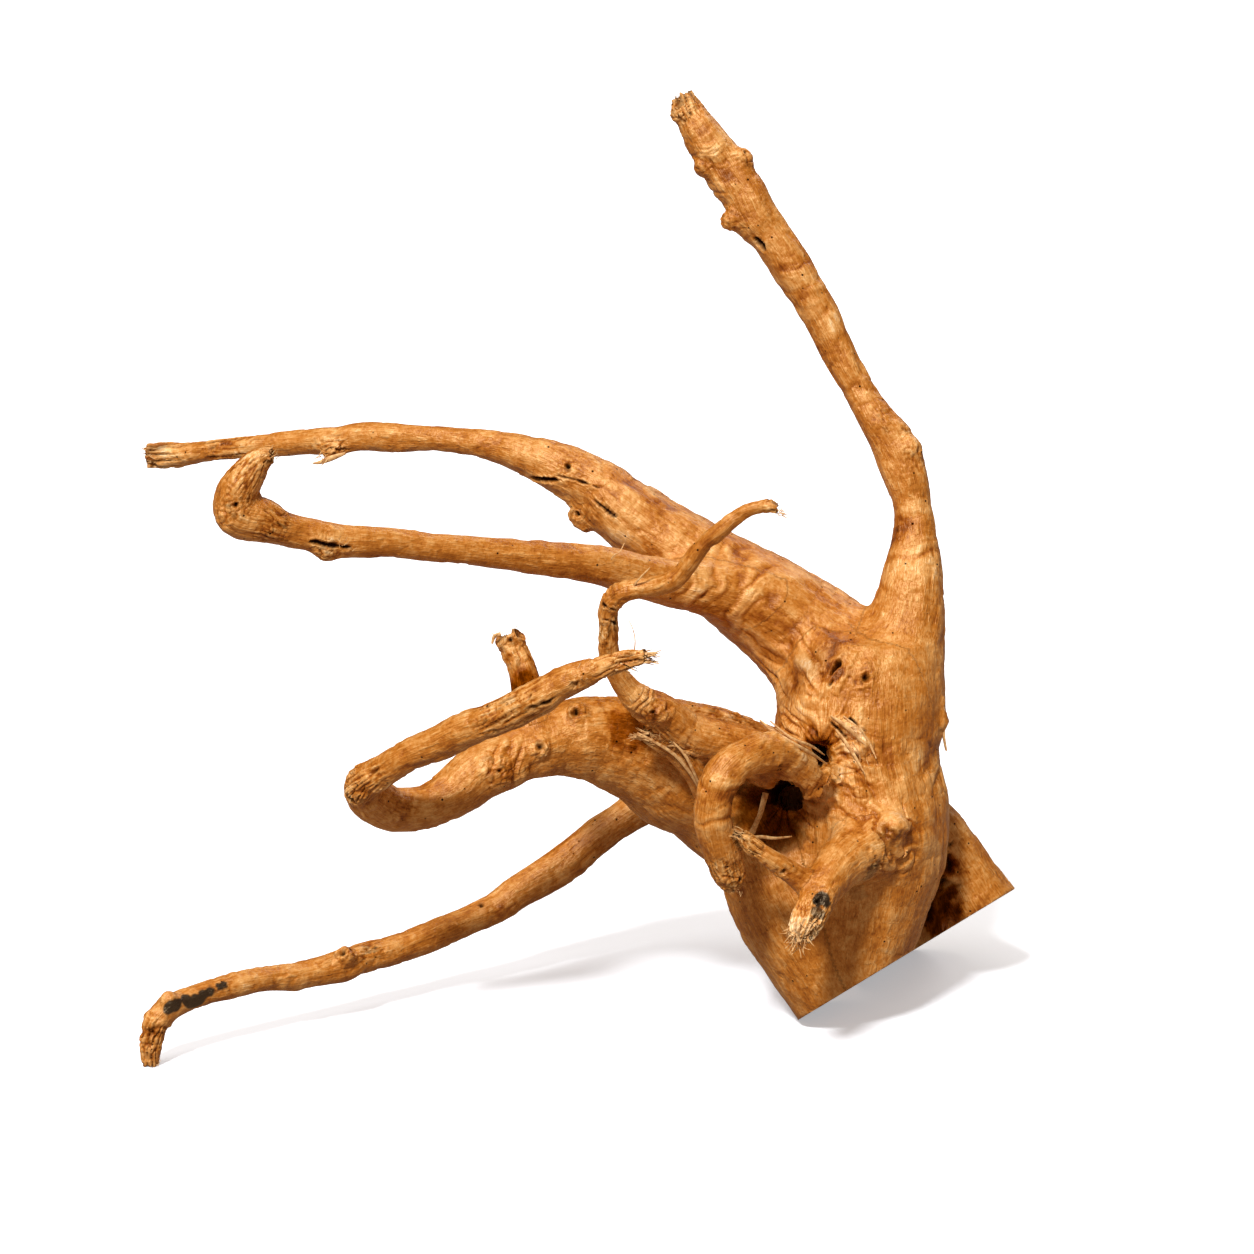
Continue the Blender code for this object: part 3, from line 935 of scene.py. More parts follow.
@dataclass(frozen=True)
class UpperArms(Growth):
    """The tall arm, the long arm and the hooked arm."""

    limbs: tuple[Limb, ...] = (
        Limb("tall_arm", 14, (
            (44, 71, 371, 4.6), (48, 69, 362, 6.3), (53, 66, 354, 8), (60, 64, 345, 8.6),
            (65, 62, 337, 9.4), (70, 60, 330, 9.4), (74, 58, 322, 9.8), (81, 56, 314, 8.2),
            (91, 52, 299, 8.2), (101, 48, 283, 7.4), (109, 44, 267, 6.7), (118, 40, 251, 6.9),
            (123, 37, 243, 7.6), (129, 35, 235, 8.8), (133, 33, 227, 9.4), (136, 30, 219, 9),
            (138, 28, 211, 8.2), (139, 26, 204, 8.2), (139, 23, 195, 9.2), (139, 21, 188, 11),
            (138, 16, 177, 13), (136, 12, 163, 15.1), (132, 8, 148, 18.3), (127, 4, 128, 22),
        ), 9),
        Limb("long_arm", 10, (
            (-186, 114, 211, 5.4), (-177, 112, 212, 5.8), (-168, 108, 213, 5.2), (-159, 104, 215, 4.5),
            (-143, 97, 218, 4.7), (-125, 90, 221, 5.3), (-108, 82, 224, 5.7), (-99, 78, 225, 6.1),
            (-90, 75, 227, 5.9), (-73, 68, 228, 5.9), (-56, 61, 229, 5.2), (-39, 55, 228, 5.8),
            (-22, 49, 225, 7.6), (-6, 44, 220, 10.3), (11, 39, 212, 12.1), (20, 36, 204, 14),
            (44, 32, 188, 16.4), (67, 28, 174, 18.9), (89, 25, 159, 22.2), (106, 23, 144, 25.1),
            (118, 20, 123, 27.2),
        ), 26),
        Limb("hook_arm", 9, (
            (-112, -62, 246, 3), (-117, -61, 245, 4.6), (-122, -60, 239, 6.7), (-127, -59, 230, 8.4),
            (-126, -58, 223, 9.6), (-118, -57, 220, 8.6), (-110, -55, 216, 6.7), (-100, -52, 213, 6.4),
            (-91, -49, 210, 6.6), (-81, -46, 209, 6.2), (-66, -40, 207, 5.8), (-51, -35, 204, 5.7),
            (-36, -29, 201, 5.7), (-20, -23, 198, 6.5), (-5, -17, 195, 7.1), (11, -10, 191, 7.8),
            (27, -2, 185, 8.8), (43, 5, 180, 9.8), (60, 12, 175, 11), (80, 18, 169, 13),
        ), 6),
    )
    knots: tuple[Knob, ...] = (
        Knob((69, 60, 345), 3.7), Knob((53, 60, 342), 3.7), Knob((64, 53, 321), 3.7),
        Knob((43, 66, 363), 3), Knob((136, 29, 231), 4.5), Knob((125, 34, 240), 3.7),
        Knob((2, 36, 201), 3.5), Knob((5, 35, 197), 2.2), Knob((-102, 74, 221), 3.4),
        Knob((-94, -53, 207), 3.5), Knob((-129, -60, 221), 4.6),
    )
    marks: tuple[Mark, ...] = (
        Splits((46, 66, 366), 11, 1.2, 1.8),
        Creases((58, 58, 340), (-0.3, -0.1, 0.95), 15, 5, 1.5),
        Creases((66, 55, 322), (-0.8, -0.2, 0.5), 13, 5, 1.5),
        Gnarl((70, 58, 347), 3.6, 0.3, 0.3), Gnarl((52, 58, 342), 4.8, 0.2, 0),
        Gnarl((63, 52, 321), 4.8, 0.2, 0), Gnarl((42, 64, 363), 4, 0.4, 0),
        Crack(((74, 50, 315), (77, 49, 311), (78, 48, 308)), 1.1, 1.8),
        Crack(((55, 55, 338), (59, 54, 335), (61, 53, 331)), 0.7, 1.2),
        Creases((96, 45, 290), (-0.45, 0.1, 0.85), 24, 5, 0.45),
        Creases((139, 14, 195), (-0.1, 0.1, 1), 26, 6, 0.5),
        Gnarl((125, 28, 243), 3.6, 0.4, 0), Gnarl((141, 25, 231), 5.5, 0.4, 0.2),
        Gnarl((136, 29, 239), 2.6, 0.3, 0.3),
        Splits((-178, 108, 212), 18, 1, 2.8),
        Crack(((-187, 108, 213), (-176, 104, 212), (-166, 101, 213)), 0.9, 1.8),
        Gnarl((-107, 72, 222), 4.2, 0.4, 0), Splits((-101, 70, 223), 9, 1.2, 1.7),
        Splits((-147, 95, 219), 20, 0.7, 1.8),
        Crack(((-19, 41, 216), (-12, 36, 217), (-6, 33, 217)), 1, 1.8),
        Crack(((-7, 33, 219), (1, 30, 218), (11, 27, 215)), 0.55, 0.8),
        Gnarl((-2, 33, 223), 3.6, 0.3, 0.3), Gnarl((2, 33, 203), 4.6, 0.9, 0.25),
        Crack(((7, 27, 211), (13, 24, 207), (19, 21, 203)), 0.7, 1.2),
        Crack(((26, 19, 199), (31, 18, 196), (37, 16, 191)), 0.5, 0.8),
        Creases((28, 20, 207), (0.5, -0.2, 0.6), 26, 5, 0.9),
        Creases((62, 8, 178), (0.8, -0.2, -0.4), 26, 6, 1.3),
        Gnarl((-127, -67, 228), 4.6, 0.3, 0.2), Gnarl((-133, -66, 223), 3.6, 0.3, 0),
        Splits((-122, -66, 240), 15, 0.6, 2.6), Splits((-114, -62, 219), 12, 0.4, 2.2),
        Crack(((-101, -58, 212), (-92, -57, 210), (-84, -54, 208)), 0.8, 1.9),
        Gnarl((-94, -58, 208), 4.2, 0.3, 0), Splits((-92, -55, 206), 9, 0.8, 1.7),
        Pit((-92, -54, 214), 0.8, 1),
    )
    fine: tuple[tuple, ...] = (
        (45, 66, 366, 12), (62, 56, 336, 24), (-182, 110, 212, 17), (-104, 72, 222, 10),
        (-122, -64, 232, 24), (-92, -56, 210, 9), (0, 33, 212, 16),
    )


@dataclass(frozen=True)
class LowerLimbs(Growth):
    """The lower branch, which turns back on itself, its snag, its rim of bark, and the leg."""

    limbs: tuple[Limb, ...] = (
        Limb("lower_branch", 12, (
            (30, -118, 182, 1.7), (27, -117, 181, 2.4), (19, -116, 179, 3.1), (12, -114, 176, 3.7),
            (5, -112, 173, 5.2), (-3, -110, 169, 6.2), (-10, -108, 164, 6.9), (-26, -103, 154, 6.7),
            (-41, -98, 147, 6.9), (-49, -95, 142, 6.6), (-61, -91, 136, 6.2), (-70, -86, 129, 6.1),
            (-77, -80, 123, 6.9), (-80, -73, 117, 7.7), (-76, -66, 110, 8.6), (-69, -60, 105, 8.6),
            (-59, -55, 104, 8.6), (-52, -52, 106, 8.8), (-44, -49, 110, 10), (-36, -46, 116, 11.2),
            (-28, -42, 119, 11.8), (-20, -38, 122, 11.9), (-13, -34, 123, 12.7), (-5, -29, 124, 14.3),
            (3, -25, 124, 16.4), (11, -21, 122, 17.6), (27, -15, 116, 20.9), (35, -12, 111, 22.2),
            (43, -9, 104, 23.1), (53, -6, 98, 22.5), (64, -4, 90, 22.5),
        ), 9),
        Limb("rim", 5, (
            (26, 0, 132, 4.5), (35, 4, 128, 4.9), (52, 10, 123, 5.3), (68, 16, 116, 5.8),
            (81, 20, 109, 7), (96, 22, 99, 9),
        )),
        Limb("leg", 10, (
            (-167, -64, -2, 3), (-167, -64, 5, 3.6), (-166, -64, 12, 4.6), (-164, -64, 19, 5.3),
            (-159, -61, 23, 5.2), (-152, -56, 25, 4.9), (-141, -48, 26, 5), (-126, -37, 26, 4.9),
            (-111, -26, 24, 5.8), (-95, -15, 24, 6.7), (-88, -9, 25, 6.2), (-72, 2, 26, 6.1),
            (-56, 13, 29, 6.2), (-40, 23, 33, 5.9), (-31, 28, 36, 6.6), (-23, 33, 41, 7.4),
            (-6, 41, 49, 7.9), (11, 48, 61, 7.6), (19, 51, 66, 7.6), (32, 54, 73, 8.5),
            (53, 56, 78, 10.6), (78, 54, 81, 13.6), (104, 46, 77, 19),
        ), 5),
        Limb("snag", 4, (
            (-25, -22, 167, 4.4), (-24, -23, 163, 4.8), (-22, -25, 158, 4.8), (-19, -28, 151, 5.4),
            (-16, -34, 134, 7.1),
        ), 3),
    )
    knots: tuple[Knob, ...] = (
        Knob((2, -34, 137), 3.6), Knob((-12, -46, 126), 2.6), Knob((-28, -52, 116), 3.4),
        Knob((-93, -19, 30), 3.4), Knob((-159, -64, 28), 3.2),
        Knob((-28.6, -25, 166), 2.5), Knob((-20.6, -24, 167), 2.3),
    )
    marks: tuple[Mark, ...] = (
        Splits((20, -117, 179), 16, 1.5, 1.6), Splits((-20, -106, 159), 26, 0.7, 1.6),
        Gnarl((3, -118, 170), 3.6, 0.2, 0.5), Pit((-12, -113, 164), 1.2, 1.2), Pit((9, -119, 175), 1, 1),
        Crack(((-20, -110, 159), (-8, -115, 163), (-1, -117, 167)), 1, 1.2),
        Creases((-82, -80, 118), (0.3, 0.9, 0.3), 14, 3.8, 1.4),
        Splits((-83, -82, 120), 13, 1.8, 1.9), Splits((-74, -88, 126), 12, 1, 1.6),
        Pit((-84, -80, 115), 1.6, 2), Pit((-80, -83, 119), 1.3, 1.6), Pit((-78, -79, 109), 1.2, 1.4),
        Gnarl((-65, -68, 110), 3.6, 0.5, 0), Creases((-66, -66, 108), (0.9, 0.1, 0.3), 9, 3, 0.8),
        Gnarl((-28, -55, 119), 6.5, 0.7, 0.12), Creases((-26, -53, 120), (0.9, 0.1, -0.4), 15, 3.8, 1.6),
        Gnarl((2, -38, 138), 3.8, 0.4, 0.45), Gnarl((-12, -49, 127), 3.8, 0.4, 0.4),
        Weal(((33, -2, 137), (52, 6, 128), (68, 12, 121), (80, 14, 116)), 2.4, 1.1, 0.1),
        Splits((60, 8, 124), 26, 1, 1.8),
        Gnarl((-94, -21, 32), 4, 0.4, 0.42), Splits((-84, -12, 31), 10, 1, 1.6),
        Splits((-166, -66, 10), 15, 1.4, 1.7), Creases((-166, -66, 14), (0.2, 0, 1), 12, 3.4, 0.8),
        StainOrPaintedShade((-158.5, -67, 25), 2.5, Shade.CHAR), StainOrPaintedShade((-156, -65.5, 25.3), 2.5, Shade.CHAR),
        StainOrPaintedShade((-151.5, -61.5, 26), 2.6, Shade.CHAR), StainOrPaintedShade((-149, -59.5, 26), 3, Shade.CHAR),
        StainOrPaintedShade((-146.5, -57.5, 26.8), 2.7, Shade.CHAR), StainOrPaintedShade((-144, -55.3, 27.5), 2.3, Shade.CHAR),
        StainOrPaintedShade((-140.5, -52.3, 29), 1.5, Shade.CHAR), StainOrPaintedShade((-138.8, -51, 29.2), 1.3, Shade.CHAR),
        Crack(((-92, -20, 32), (-86, -13, 31), (-80, -8, 30)), 0.7, 1.6),
        Gnarl((-25, -26, 164), 4, 0.2, 0), Gnarl((-21, -29, 155), 3.4, 0.3, 0.3),
        Pit((-24, -28, 165), 1, 1.2), Pit((-28, -27, 164), 0.8, 1),
        # Painted shade darkens the snag's foot, and a painted shadow of the twig's root lies on the lower
        # branch.
        Splits((-23, -27, 158), 10, 0.4, 1.8), StainOrPaintedShade((-19, -32, 148), 7, Shade.PAINTED_SHADE, 1),
        StainOrPaintedShade((22, -31, 130), 9, Shade.PAINTED_SHADE, 0.8),
        Pit((-39, 21, 38), 1.2, 1),
    )
    fine: tuple[tuple, ...] = (
        (18, -116, 178, 18), (-82, -80, 117, 14), (-27, -54, 119, 10), (-24, -24, 162, 10),
        (-160, -64, 16, 17), (-92, -20, 31, 8), (2, -38, 138, 6), (-12, -49, 127, 6),
    )


@dataclass(frozen=True)
class Rootlets(Growth):
    """The thin roots before the stump: curl, snout with its side twig, twig and splinter root."""

    limbs: tuple[Limb, ...] = (
        Limb("curl", 6, (
            (64, -62, 74, 4.3), (62, -64, 80, 6.3), (58, -68, 92, 7.4), (55, -71, 107, 7.4),
            (59, -70, 121, 7.5), (68, -64, 127, 7.6), (81, -52, 125, 8.2), (95, -37, 112, 10.3),
        ), 7),
        Limb("snout", 8, (
            (89, -85, 58, 2.7), (90, -83, 62, 5.4), (94, -76, 68, 6.8), (98, -68, 74, 7.8),
            (105, -56, 80, 9.8), (115, -42, 82, 11.9), (127, -26, 83, 13.7),
        ), 12),
        Limb("snout_twig", 3, (
            (65, -74, 100, 2.3), (70, -73, 95, 3.5), (77, -72, 89, 3.7), (86, -69, 82, 4.7),
            (95, -64, 74, 5.5),
        ), 9),
        Limb("twig", 5, (
            (80, -84, 230, 2.1), (76, -83, 231, 2.6), (70, -82, 230, 2.6), (64, -81, 227, 2.8),
            (57, -80, 221, 3.2), (50, -78, 214, 3.2), (44, -76, 205, 3.4), (39, -74, 200, 3.6),
            (31, -71, 197, 3.4), (22, -69, 195, 3.6), (17, -67, 191, 3.8), (15, -65, 186, 4),
            (15, -63, 178, 3.9), (15, -61, 169, 3.9), (17, -58, 161, 4.1), (22, -55, 153, 4.9),
            (27, -52, 147, 6.2), (36, -48, 140, 7.8), (47, -42, 130, 8.7), (65, -36, 123, 9.5),
            (81, -30, 114, 10.4),
        ), 6),
        Limb("splinter_root", 2.5, (
            (27, -50, 133, 2), (33, -48, 129, 2.6), (41, -45, 123, 3.2), (48, -41, 113, 3.4),
            (53, -36, 101, 4), (57, -30, 87, 4.8),
        ), 8),
        Limb("splinter_side_root", 2.5, (
            (41, -48, 129, 1.8), (47, -45, 122, 2.6), (52, -42, 112, 3), (57, -38, 102, 3.6),
        ), 6),
    )
    marks: tuple[Mark, ...] = (
        Gnarl((63, -68, 78), 5.6, 0.4, 0.15), Splits((60, -69, 84), 10, 0.9, 1.5),
        Pit((66, -69, 79), 1, 1.2), Pit((57, -76, 112), 1, 1), Pit((82, -62, 123), 1, 1),
        Creases((57, -74, 112), (0.2, -0.1, 1), 16, 5, 0.9),
        Creases((80, -58, 126), (0.9, -0.1, -0.4), 16, 5, 0.9),
        Splits((92, -82, 66), 15, 1.6, 1.5), Gnarl((96, -80, 74), 4.6, 0.4, 0.2),
        StainOrPaintedShade((98, -79, 75), 3.8, Shade.CHAR), StainOrPaintedShade((96, -83, 70), 2.4, Shade.CHAR, 0.8),
        StainOrPaintedShade((91, -84, 62), 8, Shade.PALE, 1),
        Splits((70, -75, 95), 9, 1, 1.2), Gnarl((83, -74, 84), 3.6, 0.4, 0.3),
        Gnarl((76, -84, 231), 2.6, 0.3, 0.3), Gnarl((16, -68, 194), 3.6, 0.5, 0.25),
        Crack(((12, -68, 190), (15, -71, 188), (19, -68, 188)), 0.9, 1),
        Crack(((12, -66, 184), (15, -69, 183), (19, -66, 181)), 0.9, 1),
        Splits((16, -66, 178), 14, 0.5, 1.3),
        Gnarl((32, -59, 144), 5.4, 0.8, 0.12), Creases((31, -58, 145), (0.6, -0.1, -0.7), 12, 3.4, 1.7),
        Splits((33, -50, 130), 12, 1.1, 1.3), Splits((45, -48, 124), 9, 0.9, 1.2),
    )
    fine: tuple[tuple, ...] = (
        (62, -68, 80, 12), (93, -80, 68, 17), (70, -74, 95, 10), (76, -84, 231, 7),
        (17, -69, 188, 12), (32, -58, 143, 10), (34, -50, 128, 12), (46, -47, 124, 8),
    )


@dataclass(frozen=True)
class SawCut:
    """The flat saw cut that ends the stump."""

    point: tuple = (93, -12, 0)
    normal: tuple = (0.514, -0.323, -0.794)


@dataclass(frozen=True)
class Joint:
    """A flat cut through one neck of the root, where one shown piece ends and the next begins.

    Attributes:
        name: The piece beyond the cut.
        limbs: The limbs that the piece holds.
        point: A place on the cut.
        way: The direction from the cut into the piece.
        reach: How far from the point the cut goes.
    """

    name: str
    limbs: tuple[str, ...]
    point: tuple
    way: tuple
    reach: float


class WoodField:
    """How far points lie outside the grown, bored and sawn root."""

    KNOT_WEB = 4.0

    def __init__(self, growths: list[Growth], saw: SawCut) -> None:
        """Lays out every limb, knot and hole.

        Args:
            growths: The root's parts, in the order in which they web together.
            saw: The saw cut.
        """
        self.limbs = [LimbField(limb) for growth in growths for limb in growth.limbs]
        self.knots = [knot for growth in growths for knot in growth.knots]
        self.hollows = [hollow for growth in growths for hollow in growth.hollows]
        self.saw_point = np.array(saw.point, float)
        self.saw_normal = direction(saw.normal)

    @staticmethod
    def merge(depth: Array, out: Array, rows: Array, other: Array, away: Array, web: float) -> None:
        """Webs another shape into the wood, in place.

        Args:
            depth: How far each point lies outside the wood.
            out: The direction out of the wood.
            rows: The points that the other shape reaches.
            other: How far those points lie outside the other shape.
            away: The direction out of the other shape.
            web: How widely the two blend.
        """
        share = np.clip(0.5 + 0.5 * (depth[rows] - other) / web, 0, 1)
        depth[rows] = depth[rows] * (1 - share) + other * share - web * share * (1 - share)
        out[rows] = out[rows] * (1 - share[:, None]) + away * share[:, None]

    def skin(self, points: Array) -> tuple[Array, Array]:
        """Measures points against the finished wood.

        Args:
            points: Rows of three numbers, in millimetres.

        Returns:
            How far each point lies outside the wood, and the direction out of it.
        """
        depth = np.full(len(points), FAR)
        out = np.zeros((len(points), 3))
        for limb in self.limbs:
            rows, distance, away, _ = limb.measure(points, REACH_OF_WEBS)
            self.merge(depth, out, rows, distance, away, limb.limb.web)
        for knot in self.knots:
            rows = np.flatnonzero((np.abs(points - knot.place) < 3 * knot.radius).all(axis=1))
            away, length = unit(points[rows] - knot.place)
            self.merge(depth, out, rows, length - knot.radius, away, self.KNOT_WEB)
        depth, out = -depth, -out
        for hollow in self.hollows:
            self.bore(points, depth, out, hollow)
        depth, out = -depth, -out
        for place, normal in ((self.saw_point, self.saw_normal), (np.zeros(3), np.array((0.0, 0.0, -1.0)))):
            beyond = (points - place) @ normal
            rows = np.flatnonzero(beyond > depth)
            depth[rows] = beyond[rows]
            out[rows] = normal
        return depth, out

    def bore(self, points: Array, depth: Array, out: Array, hollow: Hollow) -> None:
        """Webs a hole into the space round the wood, in place.

        Args:
            points: Rows of three numbers, in millimetres.
            depth: How far each point lies inside the wood.
            out: The direction into the wood.
            hollow: The hole.
        """
        mouth, end = np.array(hollow.mouth, float), np.array(hollow.end, float)
        run = end - mouth
        t = np.clip((points - mouth) @ run / (run @ run), 0, 1)
        away, length = unit(points - mouth - t[:, None] * run)
        gap = length - hollow.mouth_radius - t * (hollow.end_radius - hollow.mouth_radius)
        rows = np.flatnonzero(gap < 2 * hollow.lip)
        self.merge(depth, out, rows, gap[rows], away[rows], hollow.lip)

    def sawn(self, points: Array) -> Array:
        """Gives how far each point lies beyond the saw cut."""
        return (points - self.saw_point) @ self.saw_normal

    def grain(self, points: Array) -> tuple[Array, Array, Array, Array]:
        """Finds each point's place in the grain of the two limbs nearest to it.

        Args:
            points: Rows of three numbers, in millimetres.

        Returns:
            The number of the nearest limb, the places in its grain and in the next limb's, and how much of
            the next limb's grain shows.
        """
        nearest = np.full(len(points), FAR)
        second = np.full(len(points), FAR)
        owner = np.zeros(len(points), int)
        place = np.zeros((len(points), 3))
        other = np.zeros((len(points), 3))
        for number, limb in enumerate(self.limbs):
            rows, distance, _, grain = limb.measure(points, REACH_OF_WEBS, with_grain=True)
            grain[:, 2] += GRAIN_GAP * number
            first = distance < nearest[rows]
            won = rows[first]
            second[won], other[won] = nearest[won], place[won]
            nearest[won], place[won], owner[won] = distance[first], grain[first], number
            lost = ~first & (distance < second[rows])
            second[rows[lost]], other[rows[lost]] = distance[lost], grain[lost]
        mix = 0.5 * ease(1 - (second - nearest) / GRAIN_CROSSING)
        return owner, place, other, mix


class Finish:
    """What the wood's finishes share: patterns, sums and coats of colour."""

    @staticmethod
    def noise(tree: Tree, place: Socket, scale: tuple, detail: float, rough: float) -> Socket:
        """Adds a smooth random pattern of this scale, whose finer detail is this rough, from 0 to 1."""
        scaled = add_node(tree, "ShaderNodeVectorMath", {"operation": "MULTIPLY"}, i0=place, i1=scale)
        return add_node(
            tree, "ShaderNodeTexNoise", Vector=scaled.outputs[0], Scale=1.0, Detail=detail, Roughness=rough
        ).outputs["Fac"]

    @staticmethod
    def weighed(tree: Tree, terms: tuple, start: float) -> Socket:
        """Adds weighed values to a start value.

        Args:
            tree: The material's tree.
            terms: Pairs of an output socket and its weight.
            start: The value before any term.

        Returns:
            The sum.
        """
        total: Any = start
        for socket, weight in terms:
            total = add_node(
                tree, "ShaderNodeMath", {"operation": "MULTIPLY_ADD"}, i0=socket, i1=weight, i2=total
            ).outputs[0]
        return total

    @staticmethod
    def layered(tree: Tree, ground: Any, coats: tuple) -> Socket:
        """Lays coats of colour over one another.

        Args:
            tree: The material's tree.
            ground: The colour underneath.
            coats: Pairs of a share and the colour that covers what lies below it by that share.

        Returns:
            The colour that shows.
        """
        for share, coat in coats:
            ground = add_node(
                tree, "ShaderNodeMix", {"data_type": "RGBA"}, i0=share, i6=ground, i7=coat
            ).outputs[2]
        return ground

    @staticmethod
    def ramped(tree: Tree, tone: Socket, stops: tuple) -> Socket:
        """Turns a tone into a colour.

        Args:
            tree: The material's tree.
            tone: A value that grows from dark to pale.
            stops: Pairs of a tone and its hex colour.

        Returns:
            The colour.
        """
        ramp = add_node(tree, "ShaderNodeValToRGB", Fac=tone)
        elements = ramp.color_ramp.elements
        while len(elements) > 1:
            elements.remove(elements[-1])
        for index, (place, code) in enumerate(stops):
            stop = elements[0] if index == 0 else elements.new(place)
            stop.position = place
            stop.color = colour(code)
        return ramp.outputs["Color"]


@dataclass(frozen=True)
class PeeledRootWood(Finish):
    """Peeled moor wood: a root whose bark is off and whose surface is worn smooth and oily.

    That gives the eye an orange tan with rusty mottling, streaks along the grain, a warm satin sheen with a
    painted highlight on the backs of wrinkles and painted shade in their valleys, while cracks and holes get
    painted shade and stay dull.

    Attributes:
        deep: The darkest tone of sound wood.
        rusty: The tone of the mottling.
        tan: The commonest tone.
        gold: The tone of pale patches, and of high places, which are rubbed and given a painted highlight.
        cream: The palest fibres.
        early_wood: The pale part of a growth ring on the sawn face.
        late_wood: The dark part of a growth ring.
        hole: The painted shade inside cracks, holes and pinholes.
        soot: Blackened wood.
        sheen: The tint of the satin sheen, which the wood's oils warm.
        mottle_mm: The width of the mottling.
        patch_mm: The width of the widest patches of tone.
        crumple_mm: The width of the crumpled surface between the fibres.
        streak_mm: The width of the streaks along the grain.
        painted_glint_mm: The width of the pale flecks that stand in for glints of the satin sheen: painted
            highlights.
        fibre_mm: The width of a single fibre, drawn coarser than the real one so that it shows.
        pore_mm: The distance between pores.
        ring_mm: The distance between growth rings on the sawn face.
        ring_patch_mm: The width over which the rings wander.
        heart: The middle of the rings, in metres.
        mean_tone: The tone of the plain wood, from 0 for the deepest to 1 for cream.
        gloss: How strong the sheen is, outside holes.
        roughness: How dull the surface is.
        relief: How clearly the fibres stand out.
        relief_mm: How high they stand.
    """

    deep: str = "#4a1d00"
    rusty: str = "#8a4300"
    tan: str = "#b97023"
    gold: str = "#da9f5a"
    cream: str = "#f8d7a8"
    early_wood: str = "#e0b884"
    late_wood: str = "#b98450"
    hole: str = "#240c03"
    soot: str = "#2c1f14"
    sheen: str = "#ffdfb4"
    mottle_mm: float = 5.0
    patch_mm: float = 17.0
    crumple_mm: float = 1.6
    streak_mm: float = 1.3
    painted_glint_mm: float = 1.7
    fibre_mm: float = 0.45
    pore_mm: float = 4.5
    ring_mm: float = 1.7
    ring_patch_mm: float = 24.0
    heart: tuple = (0.124, -0.002, 0.008)
    mean_tone: float = 0.55
    gloss: float = 0.85
    roughness: float = 0.42
    relief: float = 0.9
    relief_mm: float = 0.5

    def material(self) -> bpy.types.Material:
        """Builds the material.

        Returns:
            The material, which reads the skin's grain and shades.
        """
        wood = bpy.data.materials.new("peeled_root_wood")
        wood.use_nodes = True
        tree = wood.node_tree
        shader = tree.nodes["Principled BSDF"]
        place = add_node(tree, "ShaderNodeTexCoord").outputs["Object"]
        told = {
            shade: add_node(tree, "ShaderNodeAttribute", {"attribute_name": shade.value}).outputs["Fac"]
            for shade in Shade
        }
        mottle = self.noise(tree, place, swells(self.mottle_mm), 4.0, 0.55)
        patch = self.noise(tree, place, swells(self.patch_mm), 2.0, 0.5)
        crumple = self.noise(tree, place, swells(self.crumple_mm), 3.0, 0.6)
        streak = self.along_grain(tree, self.streak_mm, 12.0, 3.0)
        fibre = self.along_grain(tree, self.fibre_mm, 9.0, 2.0)
        # Pale flecks along the grain stand in for glints of the sheen: painted highlights.
        painted_glint = self.along_grain(tree, self.painted_glint_mm, 3.0, 2.0)
        painted_glint = add_node(tree, "ShaderNodeMapRange", Value=painted_glint, i1=0.54, i2=0.66).outputs[0]
        # The patterns swing the tone about its mean, and the marks on the skin tint it: pale fibre, painted
        # highlights and painted glints lift it, and painted shade lowers it.
        swings = ((mottle, 0.35), (patch, 0.45), (streak, 0.3), (fibre, 0.4), (crumple, 0.35))
        tints = (
            (painted_glint, 0.08), (told[Shade.PALE], 0.32), (told[Shade.VALLEY_SHADE], -0.3), (told[Shade.TORN], 0.06),
            (told[Shade.PAINTED_SHADE], -0.34),
        )
        start = self.mean_tone - 0.5 * sum(weight for _, weight in swings)
        tone = self.weighed(tree, swings + tints, start)
        sound_wood = self.ramped(tree, tone, (
            (0.1, self.deep), (0.34, self.rusty), (0.54, self.tan), (0.74, self.gold), (0.98, self.cream),
        ))
        cut_wood = self.layered(tree, colour(self.late_wood), (
            (self.rings(tree, place), colour(self.early_wood)),
            (self.weighed(tree, ((patch, 0.8),), -0.15), colour(self.tan)),
        ))
        # Cracks, holes and pinholes take the hole colour: painted shade.
        pores = self.pores(tree, place)
        dark = add_node(
            tree, "ShaderNodeMath", {"operation": "MAXIMUM"}, i0=pores, i1=told[Shade.CREVICE]
        ).outputs[0]
        base = self.layered(tree, sound_wood, (
            (told[Shade.SAWN], cut_wood), (dark, colour(self.hole)), (told[Shade.CHAR], colour(self.soot)),
        ))
        tree.links.new(base, shader.inputs["Base Color"])
        # Worn wood shines on its mottled backs and is dull on fresh fibre, in cracks and on the saw cut.
        dullness = ((mottle, -0.2), (fibre, 0.12), (told[Shade.CREVICE], 0.3), (told[Shade.SAWN], 0.25))
        dullness = self.weighed(tree, dullness, self.roughness + 0.04)
        tree.links.new(dullness, shader.inputs["Roughness"])
        # The sheen fades in painted shade and in holes, and grows with the tone.
        shine = ((dark, -self.gloss), (told[Shade.PAINTED_SHADE], -0.6), (tone, 0.8))
        shine = self.weighed(tree, shine, self.gloss - 0.45)
        shine = add_node(tree, "ShaderNodeMath", {"operation": "MAXIMUM"}, i0=shine, i1=0.0).outputs[0]
        tree.links.new(shine, shader.inputs["Specular IOR Level"])
        shader.inputs["Specular Tint"].default_value = colour(self.sheen)
        shader.inputs["Metallic"].default_value = 0.0
        shader.inputs["IOR"].default_value = 1.5
        height = ((fibre, 0.45), (streak, 0.8), (crumple, 0.9), (painted_glint, 0.35), (pores, -0.9))
        height = self.weighed(tree, height, 0.0)
        bump = add_node(
            tree, "ShaderNodeBump", Strength=self.relief, Distance=self.relief_mm * MM, Height=height
        )
        tree.links.new(bump.outputs["Normal"], shader.inputs["Normal"])
        return wood

